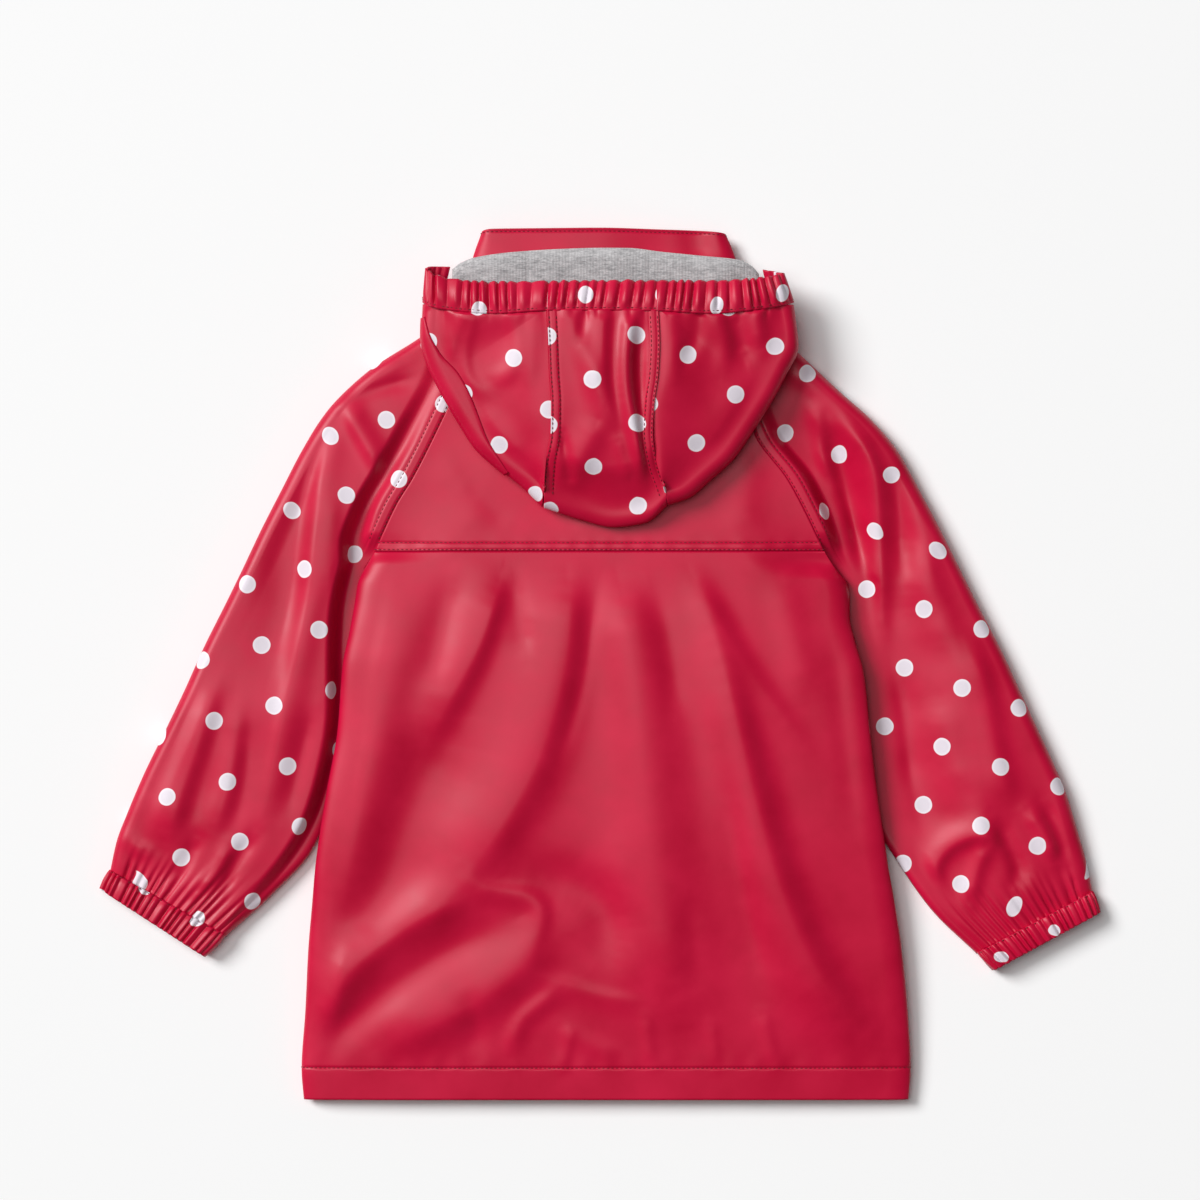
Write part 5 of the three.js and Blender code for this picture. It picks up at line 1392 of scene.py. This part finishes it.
def hood_centre(u, v):
    u = 1 - u
    rim_y = look_up(HOOD_BOTTOM, "f", u, "y")

    def near_x(y):
        return lerp(seam_x(y, "left") - HOOD_OVERLAP, seam_x(y, "right") + HOOD_OVERLAP, u)

    def far_x(y):
        return lerp(far_seam_x(y, "left") - HOOD_OVERLAP, far_seam_x(y, "right") + HOOD_OVERLAP, u)

    flat_y = rim_y + HOOD_ROLL
    rim_top = HOOD_RIM_TOP - HOOD_SAG * np.sin(np.pi * u)
    middle = (rim_top + HOOD_FAR_Z) / 2
    deep = (rim_top - HOOD_FAR_Z) / 2
    y_near = lerp(MOUTH_SEAM_Y, flat_y, np.clip(v / NEAR_SHARE, 0, 1))
    x_near = near_x(y_near)
    seam = look_up(HOOD_SEAM_HEIGHT, "y", y_near, "z")
    sink = smooth(flat_y + HOOD_SAG_REACH - y_near, 0, HOOD_SAG_REACH)
    from_seam = np.minimum(x_near - seam_x(y_near, "left"), seam_x(y_near, "right") - x_near)
    clear = smooth(y_near - flat_y, 0, 14) * smooth(from_seam, 3, 10)
    band = (
        HOOD_BAND_RISE * (1 - smooth(from_seam, HOOD_BAND, HOOD_BAND + BAND_EDGE))
        + pressed_line(from_seam - HOOD_ROW_IN)
        + pressed_line(from_seam - HOOD_BAND - HOOD_ROW_PAST_BAND)
    )
    z_near = lerp(seam, rim_top, sink) + (
        fold_height(HOOD_FOLDS, x_near, y_near) + hood_detail(x_near, y_near)
    ) * clear + band * smooth(y_near - flat_y, 0, 10)
    angle = np.pi * np.clip((v - NEAR_SHARE) / ROLL_SHARE, 0, 1)
    turned = (1 - np.cos(angle)) / 2
    past = np.clip((v - NEAR_SHARE - ROLL_SHARE) / (1 - NEAR_SHARE - ROLL_SHARE), 0, 1)
    y_far = lerp(flat_y, HOOD_FAR_TOP, past)
    rolled_x = lerp(near_x(flat_y), far_x(flat_y), turned)
    rolled_y = flat_y - (HOOD_ROLL + HOOD_OVER) * np.sin(angle)
    rolled_z = middle + (deep + HOOD_OVER) * np.cos(angle)
    near = (x_near, y_near, z_near + HOOD_OVER)
    rolled = (rolled_x, rolled_y, rolled_z)
    far = (far_x(y_far), y_far, HOOD_FAR_Z - HOOD_OVER)
    parts = [by_part(v, NEAR_SHARE, NEAR_SHARE + ROLL_SHARE, *axis) for axis in zip(near, rolled, far)]
    return np.stack(parts, axis=-1)


def hood_centre_place(u, v, points):
    return np.stack([points[..., 0], MOUTH_SEAM_Y - walked(points, 0)], axis=-1)


rolled_share = NEAR_SHARE + ROLL_SHARE
dotted["hood centre"] = coated("hood dots centre", HOOD_DOTS["centre"])
sew_in(
    cloth_shell(
        "hood_centre_panel",
        hood_centre,
        spaced((0, 0.1, 15), (0.1, 0.9, 51), (0.9, 1, 15)),
        spaced((0, NEAR_SHARE, 105), (NEAR_SHARE, rolled_share, 24), (rolled_share, 1, 51)),
        CLOTH,
        flat_place=hood_centre_place,
    ),
    ["hood_centre"],
    dotted["hood centre"],
)

# %% [markdown]
# ## The casing of the hood's mouth
# The mouth has the same elastic casing as the cuffs. It runs from the far layer round each rim and
# over the near layer, with a row of stitches at its foot.

# %% The mouth casing
CASING_LAST = 14
MOUTH_CASING = table(
    "k stitch_x stitch_y stitch_z edge_x edge_y edge_z",
    (0, -103, 253.2, 22.6, -100, 264, 25),
    (1, -113, 246.6, 24.6, -111, 264, 27),
    (2, -117.8, 240.4, 30.5, -115.3, 262.4, 32),
    (3, -112.5, 238.4, 37, -110.5, 258.5, 37),
    (4, -98, 235.8, 41, -95, 254.5, 39.5),
    (5, -68.7, 233.5, 45.4, -70, 252.7, 41.5),
    (6, -35, 235.4, 47, -35, 252.9, 43),
    (7, 0, 235.6, 47.4, 0, 253.4, 43.5),
    (8, 38, 235.2, 47, 38, 253.4, 43),
    (9, 72, 233.5, 45.2, 72, 253.4, 41.5),
    (10, 104, 236.4, 41, 101, 255, 39.5),
    (11, 122.5, 239.4, 37, 117.5, 257.8, 37),
    (12, 128.6, 240, 30.5, 122.3, 258.9, 32),
    (13, 122, 245.6, 24.6, 117, 260.5, 27),
    (14, 111, 253.2, 22.6, 108, 262, 25),
)
MOUTH_DEPTH = 1.6
MOUTH_OVERLAP = 2.2
MOUTH_OVER = 0.9
MOUTH_SWELL = 2.4
MOUTH_SLANT = {"size": 0.010, "rate": 9}
MOUTH_SEED = 50


def casing_column(u, column):
    return look_up(MOUTH_CASING, "k", u * CASING_LAST, column)


def way_round(u):
    """The share of the casing's length that is walked at u, so that all gathers are about as wide."""
    corners = np.stack([MOUTH_CASING[f"stitch_{axis}"] for axis in "xyz"], axis=-1)
    walked = np.concatenate([[0], np.cumsum(np.linalg.norm(np.diff(corners, axis=0), axis=1))])
    return np.interp(u * CASING_LAST, MOUTH_CASING["k"], walked / walked[-1])


def mouth_casing(u, v):
    on_near = smooth(casing_column(u, "stitch_z"), 30, 40)
    swell = MOUTH_SWELL * np.sin(np.pi * v) * on_near
    from_y = casing_column(u, "stitch_y") - MOUTH_OVERLAP * on_near
    from_z = casing_column(u, "stitch_z") + MOUTH_OVER * on_near
    x = lerp(casing_column(u, "stitch_x"), casing_column(u, "edge_x"), v)
    y = lerp(from_y, casing_column(u, "edge_y"), v)
    return np.stack([x, y, lerp(from_z, casing_column(u, "edge_z"), v) + swell], axis=-1)


def mouth_ripple(u, v):
    slant = MOUTH_SLANT["size"] * (v - 0.5) * np.sin(MOUTH_SLANT["rate"] * u)
    on_near = lerp(0.3, 1, smooth(casing_column(u, "stitch_z"), 30, 39))
    from_row = lerp(0.22, 1, smooth(v, 0.0, 0.35))
    return MOUTH_DEPTH * on_near * from_row * gathers(way_round(u) + slant, MOUTH_GATHERS, MOUTH_SEED)


FAR_SHIFT = 14.6
CASING_DOTS = table(
    "x y gather rise",
    (-79.7, 233.7, 1.145, 0), (-9.5, 243.9, 1.145, 0), (76.9, 236.8, 1.336, 0.2),
)


def mouth_place(u, v, points):
    """The casing's three panels have prints of their own. Gathered cloth is longer when it is flat."""
    x, y = points[..., 0], points[..., 1]
    part = np.where(x < seam_x(y, "left"), 0, np.where(x < seam_x(y, "right"), 1, 2))
    at_x, at_y, gather, rise = (column[part] for column in CASING_DOTS.values())
    turned_under = FAR_SHIFT * (points[..., 2] < HOOD_RIM_TOP - HOOD_ROLL)
    return np.stack([(x - at_x) * gather, y - at_y - (x - at_x) * rise - turned_under], axis=-1)


dotted["casing"] = coated("hood dots casing", (0.0, 0.0, 0.0))
casing_piece = sew_in(
    cloth_shell(
        "hood_mouth_casing_cloth",
        gathered(mouth_casing, mouth_ripple),
        spaced((0, 1, MOUTH_GATHERS * 18)),
        spaced((0, 1, 18)),
        CASING_CLOTH,
        inner_step=1,
        flat_place=mouth_place,
    ),
    ["hood_mouth_casing"],
    dotted["casing"],
)

# %% [markdown]
# ## The plain strip at the neck of the hood
# A narrow plain strip joins the hood to the neck. On the left it turns over the hood's lower edge
# and covers the dots. It is made from the side panel's own points, moved out.

# %% The neck strip
STRIP_RISE = 1.0
STRIP_FROM = {"u": 0.36, "v": 0.05}
STRIP_TO = {"u": 0.52, "v": 0.82}
STRIP_TAPER = 0.11


def neck_strip(u, v):
    taper = STRIP_TAPER * (1 - np.sin(np.pi * np.clip(v, 0.01, 0.99)) ** 0.7)
    points = hood_side(LEFT)(
        lerp(STRIP_FROM["u"] + taper, STRIP_TO["u"], u), lerp(STRIP_FROM["v"], STRIP_TO["v"], v)
    )
    return points + outward(points) * (STRIP_RISE * smooth(u, -0.05, 0.12))[..., None]


strip_piece = sew_in(
    cloth_shell(
        "hood_neck_strip_cloth", neck_strip, spaced((0, 1, 24)), spaced((0, 1, 96)), CLOTH - SEAM_GAP
    ),
    ["hood_neck_strip"],
    plain_red,
)

# %% [markdown]
# ## The jersey lining
# The lining shows in the mouth of the hood. It comes out of the pouch, rolls over the neck and goes
# down to the foot of the collar. Knit is softer than coated cloth, so its roll is uneven.

# %% The lining
LINING_TOP = table(
    "x y",
    (-98, 262.5), (-93, 266.5), (-84, 270), (-58.7, 273.7), (-29, 275.7), (0, 276.6), (19, 276.5),
    (41, 273.9), (68.5, 271.2), (92, 268.7), (101, 264.5), (105.5, 259.5),
)
LINING_ROLL = 9
LINING_DEEP_Y = 200
LINING_NECK_Y = 243
LINING_SEAT_Z = 15.75
LINING_IN_SHARE = 0.4
LINING_ROLL_SHARE = 0.35
LINING_DEEP = {"left": -60, "right": 62, "z": 24.8}
LINING_FOOT = {"left": -70, "right": 72}
LINING_HIGH = {"side": 27, "middle": 30.5}
LINING_LOW_Z = 17.3
LINING_SEAMS = {"at": (-48, 33), "depth": 0.5, "width": 1.2}
LINING_WAVES = {"height": 0.5, "size": 26, "seed": 61}
LINING_CORNER_RISE = 1.5


def lining(u, v):
    x = lerp(LINING_TOP["x"][0], LINING_TOP["x"][-1], u)
    roll_y = look_up(LINING_TOP, "x", x, "y") - LINING_ROLL
    edge = smooth(np.minimum(u, 1 - u), 0, 0.12)
    high = lerp(LINING_HIGH["side"], LINING_HIGH["middle"], edge)
    t_in = np.clip(v / LINING_IN_SHARE, 0, 1)
    angle = np.pi * np.clip((v - LINING_IN_SHARE) / LINING_ROLL_SHARE, 0, 1)
    rolled = LINING_IN_SHARE + LINING_ROLL_SHARE
    t_out = np.clip((v - rolled) / (1 - rolled), 0, 1)
    middle = (high + LINING_LOW_Z) / 2
    neck_y = LINING_NECK_Y + LINING_CORNER_RISE * (1 - edge)
    x_in = lerp(lerp(LINING_DEEP["left"], LINING_DEEP["right"], u), x, t_in)
    x_out = lerp(x, lerp(LINING_FOOT["left"], LINING_FOOT["right"], u), t_out)
    y_in = lerp(LINING_DEEP_Y, roll_y, t_in)
    y_roll = roll_y + LINING_ROLL * np.sin(angle)
    y_out = lerp(roll_y, neck_y, t_out)
    z_in = lerp(LINING_DEEP["z"], high, smooth(t_in, 0.25, 1))
    z_roll = middle + (high - middle) * np.cos(angle)
    z_out = lerp(LINING_LOW_Z, LINING_SEAT_Z, smooth(t_out, 0.2, 1))
    px = by_part(v, LINING_IN_SHARE, rolled, x_in, x, x_out)
    py = by_part(v, LINING_IN_SHARE, rolled, y_in, y_roll, y_out)
    pz = by_part(v, LINING_IN_SHARE, rolled, z_in, z_roll, z_out)
    seams = 0
    for seam in LINING_SEAMS["at"]:
        seams = seams + pressed_line(px - seam, LINING_SEAMS["depth"], LINING_SEAMS["width"])
    waves = LINING_WAVES["height"] * undulation(px, py, LINING_WAVES["size"], LINING_WAVES["seed"])
    shows = smooth(v, 0.1, 0.3) * (1 - smooth(v, 0.6, 0.75)) * edge
    return np.stack([px, py, pz + (waves + seams) * shows], axis=-1)


lining_piece = sew_in(
    cloth_shell("hood_lining_jersey", lining, spaced((0, 1, 150)), spaced((0, 1, 105)), CLOTH),
    ["hood_lining"],
    jersey,
)

# %% [markdown]
# ## The stand collar
# The collar is a ring, pressed flat: the back half lies beyond the hood, its ends overlap in front.
# Its upper edge is turned and stitched, so a pressed row follows it.

# %% The collar
COLLAR_LAST = 16
COLLAR_FRONT_END = 4
COLLAR_BULGE = 3
COLLAR_HEIGHT = 56
COLLAR_ROW_IN = 2.0
COLLAR_WAVES = {"height": 0.5, "size": 50, "seed": 71}
COLLAR = table(
    "k base_x base_y base_z top_x top_y top_z",
    (0, 12, 190.4, 3.9, 12, 244, 3.9),
    (1, -13, 190.4, 3.9, -13, 244.5, 3.9),
    (2, -32, 196.5, 0.1, -33, 251, 0.6),
    (3, -56, 214.5, 0, -58, 266, 1),
    (4, -73.9, 237.6, 0.8, -74, 281, 2.5),
    (5, -86.8, 246.4, 7.5, -79, 288, 8.5),
    (6, -73.9, 237.6, 14.4, -73, 290, 14),
    (7, -40, 233.4, 15.2, -40, 290.4, 14.6),
    (8, 0, 231.2, 15.5, 0, 290.7, 15),
    (9, 40, 233.4, 15.2, 38, 289.8, 14.6),
    (10, 74.9, 237.6, 14.4, 70, 288.7, 14),
    (11, 92.8, 247.4, 7.5, 84, 286.5, 8.5),
    (12, 74.9, 237.6, 0.8, 77, 280, 2.5),
    (13, 56, 214.5, 0, 58, 265, 1),
    (14, 32, 196.5, 0, 33, 250.5, 0.6),
    (15, 13, 190.4, 1.6, 13, 244, 1.6),
    (16, -12, 189.8, 1.6, -12, 243.5, 1.6),
)


def collar(u, v):
    k = u * COLLAR_LAST

    def read(column):
        return look_up(COLLAR, "k", k, column)

    in_front = (k < COLLAR_FRONT_END) | (k > COLLAR_LAST - COLLAR_FRONT_END)
    base_y = np.where(in_front, front_neck_y(read("base_x")) + SEAM_GAP * 2, read("base_y"))
    x = lerp(read("base_x"), read("top_x"), v)
    y = lerp(base_y, read("top_y"), v)
    z = lerp(read("base_z"), read("top_z"), v)
    side = smooth(np.abs(x), 70, 84)
    x = x + np.sign(x) * COLLAR_BULGE * side * np.sin(np.pi * v)
    y = y + SEAM_GAP * (1 - v) * smooth(np.abs(x), 60, 72)
    on_back = smooth(k, 5.5, 6.5) * (1 - smooth(k, 9.5, 10.5))
    waves = COLLAR_WAVES["height"] * undulation(x, y, COLLAR_WAVES["size"], COLLAR_WAVES["seed"])
    relief = pressed_line((1 - v) * COLLAR_HEIGHT - COLLAR_ROW_IN, 0.5) + waves * np.sin(np.pi * v)
    step = -(2.6 * smooth(x, 0, 50) + 4.5 * smooth(x, 46, 86)) * smooth(v, 0.4, 0.8)
    return np.stack([x, y, z + (relief + step) * on_back], axis=-1)


collar_piece = sew_in(
    cloth_shell(
        "stand_collar_cloth",
        collar,
        spaced((0, 1, 240)),
        spaced((0, 0.9, 27), (0.9, 1, 15)),
        CLOTH + HEM_EXTRA,
    ),
    ["stand_collar"],
    plain_red,
)

# %% [markdown]
# ## The press studs
# Plain studs close the front. They are below the jacket and keep the shape of their solids, with a
# brushed metal finish.

# %% The studs' finish
stud_metal, tree, shader = principled("brushed stud metal", 0.34, srgb(200, 200, 204))
shader.inputs["Metallic"].default_value = 1.0
coordinates = node(tree, "ShaderNodeTexCoord")
brushing = node(tree, "ShaderNodeMapping")
brushing.inputs["Scale"].default_value = (1, 18, 1)
tree.links.new(coordinates.outputs["Object"], brushing.inputs["Vector"])
lines = noise(tree, brushing.outputs["Vector"], 400, 3.0)
tree.links.new(ramp(tree, lines, 0.3, 0.7, 0.26, 0.42), shader.inputs["Roughness"])
bump(tree, lines, 0.00005, 0.3, shader)
for name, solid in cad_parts.items():
    if name.startswith("press_stud"):
        solid.data.materials.clear()
        solid.data.materials.append(stud_metal)

# %% [markdown]
# ## Stitches
# Each row of stitches repeats one small stitch along a line. Geometry Nodes do this well: the line
# is cut into equal steps, a stitch is set on each point and turned along the line. The points of
# each line come from the cloth's own surface, so the thread lies on it.

# %% The tree that lays stitches
def stitch_tree():
    tree = bpy.data.node_groups.new("row of stitches", "GeometryNodeTree")
    face = tree.interface
    face.new_socket(name="Line", in_out="INPUT", socket_type="NodeSocketGeometry")
    for label, value in (("Pitch", STITCH_PITCH * MM), ("Stitch length", 2.0 * MM), ("Thread", 0.62 * MM)):
        face.new_socket(name=label, in_out="INPUT", socket_type="NodeSocketFloat").default_value = value
    face.new_socket(name="Material", in_out="INPUT", socket_type="NodeSocketMaterial")
    face.new_socket(name="Stitches", in_out="OUTPUT", socket_type="NodeSocketGeometry")
    start = tree.nodes.new("NodeGroupInput")
    end = tree.nodes.new("NodeGroupOutput")
    link = tree.links.new
    curve = tree.nodes.new("GeometryNodeMeshToCurve")
    link(start.outputs["Line"], curve.inputs["Mesh"])
    steps = tree.nodes.new("GeometryNodeCurveToPoints")
    steps.mode = "LENGTH"
    link(curve.outputs["Curve"], steps.inputs["Curve"])
    link(start.outputs["Pitch"], steps.inputs["Length"])
    ball = tree.nodes.new("GeometryNodeMeshUVSphere")
    ball.inputs["Segments"].default_value = 6
    ball.inputs["Rings"].default_value = 5
    ball.inputs["Radius"].default_value = 0.5
    size = tree.nodes.new("ShaderNodeCombineXYZ")
    link(start.outputs["Thread"], size.inputs["X"])
    link(start.outputs["Thread"], size.inputs["Y"])
    link(start.outputs["Stitch length"], size.inputs["Z"])
    stretched = tree.nodes.new("GeometryNodeTransform")
    link(ball.outputs["Mesh"], stretched.inputs["Geometry"])
    link(size.outputs["Vector"], stretched.inputs["Scale"])
    vary = tree.nodes.new("FunctionNodeRandomValue")
    vary.data_type = "FLOAT"
    vary.inputs["Min"].default_value = 0.88
    vary.inputs["Max"].default_value = 1.06
    vary.inputs["Seed"].default_value = 5
    laid = tree.nodes.new("GeometryNodeInstanceOnPoints")
    link(steps.outputs["Points"], laid.inputs["Points"])
    link(stretched.outputs["Geometry"], laid.inputs["Instance"])
    link(steps.outputs["Rotation"], laid.inputs["Rotation"])
    link(vary.outputs["Value"], laid.inputs["Scale"])
    real = tree.nodes.new("GeometryNodeRealizeInstances")
    link(laid.outputs["Instances"], real.inputs["Geometry"])
    shaded = tree.nodes.new("GeometryNodeSetMaterial")
    link(real.outputs["Geometry"], shaded.inputs["Geometry"])
    link(start.outputs["Material"], shaded.inputs["Material"])
    link(shaded.outputs["Geometry"], end.inputs["Stitches"])
    return tree


stitching = stitch_tree()
THREAD_LIFT = 0.22
THREAD_LOWEST = 0.4
sockets = {item.name: item.identifier for item in stitching.interface.items_tree if item.in_out == "INPUT"}


def line_on(surface, u, v, lift=THREAD_LIFT):
    """Points of a line on a surface, from its paths in u and v, raised by lift millimetres."""
    u, v = np.broadcast_arrays(np.asarray(u, float), np.asarray(v, float))
    step = 5e-4
    us = np.stack([u - step, u + step], axis=1)
    rows = []
    for dv in (-step, step):
        rows.append(surface(np.clip(us, 0, 1), np.clip(np.stack([v, v], axis=1) + dv, 0, 1)))
    low, high = rows
    centre = (low.mean(axis=1) + high.mean(axis=1)) / 2
    normal = np.cross(low[:, 1] - low[:, 0] + high[:, 1] - high[:, 0], high.mean(axis=1) - low.mean(axis=1))
    normal /= np.maximum(np.linalg.norm(normal, axis=1, keepdims=True), 1e-9)
    raised = centre + normal * lift
    raised[:, 2] = np.maximum(raised[:, 2], THREAD_LOWEST)
    return raised


def stitch_rows(name, lines, pitch=STITCH_PITCH):
    points = []
    edges = []
    for line in lines:
        first = len(points)
        points.extend((line * MM).tolist())
        edges.extend((first + i, first + i + 1) for i in range(len(line) - 1))
    mesh = bpy.data.meshes.new(name + " line")
    mesh.from_pydata(points, edges, [])
    guide = bpy.data.objects.new(name + " line", mesh)
    bpy.context.scene.collection.objects.link(guide)
    modifier = guide.modifiers.new("stitches", "NODES")
    modifier.node_group = stitching
    modifier[sockets["Pitch"]] = pitch * MM
    # The stitches take the thread that is painted darker, as painted shade of the stitch holes.
    modifier[sockets["Material"]] = thread_with_painted_shade
    evaluated = guide.evaluated_get(bpy.context.evaluated_depsgraph_get())
    made = bpy.data.meshes.new_from_object(evaluated)
    bpy.data.objects.remove(guide)
    made.name = name
    made.polygons.foreach_set("use_smooth", np.ones(len(made.polygons), bool))
    piece = bpy.data.objects.new(name, made)
    bpy.context.scene.collection.objects.link(piece)
    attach(piece, "root")
    print(name, "has", len(made.polygons) // 30, "stitches")
    return piece


# %% [markdown]
# The rows follow the hem, the yoke band, the raglan bands, the hood's bands, the casings and the
# collar.

# %% The rows of stitches
fine = np.linspace(0, 1, 400)
hem_stitches = stitch_rows("hem_stitches", [line_on(back_body, fine, hem_share)])
yoke_stitches = stitch_rows(
    "yoke_stitches",
    [line_on(yoke, fine, from_seam / yoke_length) for from_seam in (ROW_IN, YOKE_BAND + YOKE_ROW_PAST_BAND)],
)
collar_back = np.linspace(5.2, 10.8, 200) / COLLAR_LAST
collar_row = line_on(collar, collar_back, 1 - COLLAR_ROW_IN / COLLAR_HEIGHT)
collar_stitches = stitch_rows("collar_stitches", [collar_row])


def raglan_line(half, from_seam):
    """The row at a distance from the raglan seam, from near the neck to the armpit."""
    t = np.linspace(0.06, (ARMPIT_STATION - 0.9) / LAST_STATION, 160)
    station = sleeve_station(half, t)
    length = np.hypot(station["outer_x"] - station["inner_x"], station["outer_y"] - station["inner_y"])
    flat = length - np.minimum(SLEEVE_TURN, length * TURN_LIMIT)
    q = from_seam / flat / (1 - BEND)
    around = q * TOP_SHARE
    lift = THREAD_LIFT if half is LEFT else -THREAD_LIFT
    return line_on(lambda u, v: sleeve_surface(half, v, u), around, t, lift)


for half in (LEFT, RIGHT):
    side_name = half["name"]
    rows = [raglan_line(half, from_seam) for from_seam in (ROW_IN, SEAM_BAND + SLEEVE_ROW_PAST_BAND)]
    stitch_rows(f"raglan_stitches_{side_name}", rows)
    stitch_rows(
        f"cuff_stitches_{side_name}", [line_on(cuff(half), fine, 0.05)]
    )
casing_stitches = stitch_rows("casing_stitches", [line_on(gathered(mouth_casing, mouth_ripple), fine, 0.1)])


def hood_band_line(side, from_seam):
    v = np.linspace(0.02, NEAR_SHARE * 0.98, 160)
    y = lerp(MOUTH_SEAM_Y, 104 + HOOD_ROLL, v / NEAR_SHARE)
    width = seam_x(y, "right") - seam_x(y, "left")
    share = from_seam / width
    return line_on(hood_centre, 1 - share if side == "left" else share, v)


hood_stitches = stitch_rows(
    "hood_stitches",
    [
        hood_band_line(side, distance)
        for side in ("left", "right")
        for distance in (ROW_IN, HOOD_BAND + HOOD_ROW_PAST_BAND)
    ],
)

# %% [markdown]

# %% [markdown]
# ## Floor, light and camera
# The jacket lies on a pale floor. A broad sun from the upper left makes each fold's left side
# bright, and a soft light from above keeps the shadows clear. The camera looks straight down from
# three metres, far enough to show the outline without perspective.


# %% Floor, light and camera
def area_light(name, place, target, size, power):
    data = bpy.data.lights.new(name, "AREA")
    data.shape = "DISK"
    data.size = size
    data.energy = power
    lamp = bpy.data.objects.new(name, data)
    lamp.location = place
    lamp.rotation_euler = (Vector(target) - Vector(place)).to_track_quat("-Z", "Y").to_euler()
    bpy.context.scene.collection.objects.link(lamp)


floor_mesh = bpy.data.meshes.new("floor")
FLOOR_HALF = 4.0
FLOOR_Z = -0.0004
corners = [(x * FLOOR_HALF, y * FLOOR_HALF, FLOOR_Z) for x, y in ((-1, -1), (1, -1), (1, 1), (-1, 1))]
floor_mesh.from_pydata(corners, [], [(0, 1, 2, 3)])
floor = bpy.data.objects.new("floor", floor_mesh)
bpy.context.scene.collection.objects.link(floor)
floor_white, tree, shader = principled("floor", 0.9, (0.99, 0.99, 0.99, 1))
shader.inputs["Specular IOR Level"].default_value = 0.1
floor_mesh.materials.append(floor_white)

KEY_FROM = (-1.0, 0.6, 0.98)
KEY_WIDTH = 0.45
sun = bpy.data.lights.new("key from the left", "SUN")
sun.energy = 2.8
sun.angle = KEY_WIDTH
key = bpy.data.objects.new("key from the left", sun)
key.rotation_euler = Vector(KEY_FROM).to_track_quat("Z", "Y").to_euler()
bpy.context.scene.collection.objects.link(key)
area_light("soft light from above", (-0.8, 0.6, 3.7), (0, 0, 0), 2.4, 46)
world = bpy.data.worlds.new("studio")
world.use_nodes = True
world.node_tree.nodes["Background"].inputs["Color"].default_value = (1, 1, 1, 1)
world.node_tree.nodes["Background"].inputs["Strength"].default_value = 0.1
bpy.context.scene.world = world
bpy.context.scene.view_settings.view_transform = "Standard"

camera_data = bpy.data.cameras.new("camera")
camera_data.lens = 135
camera_data.sensor_width = 36
camera = bpy.data.objects.new("camera", camera_data)
camera.location = (0, 0.0427, 3.012)
bpy.context.scene.collection.objects.link(camera)
bpy.context.scene.camera = camera
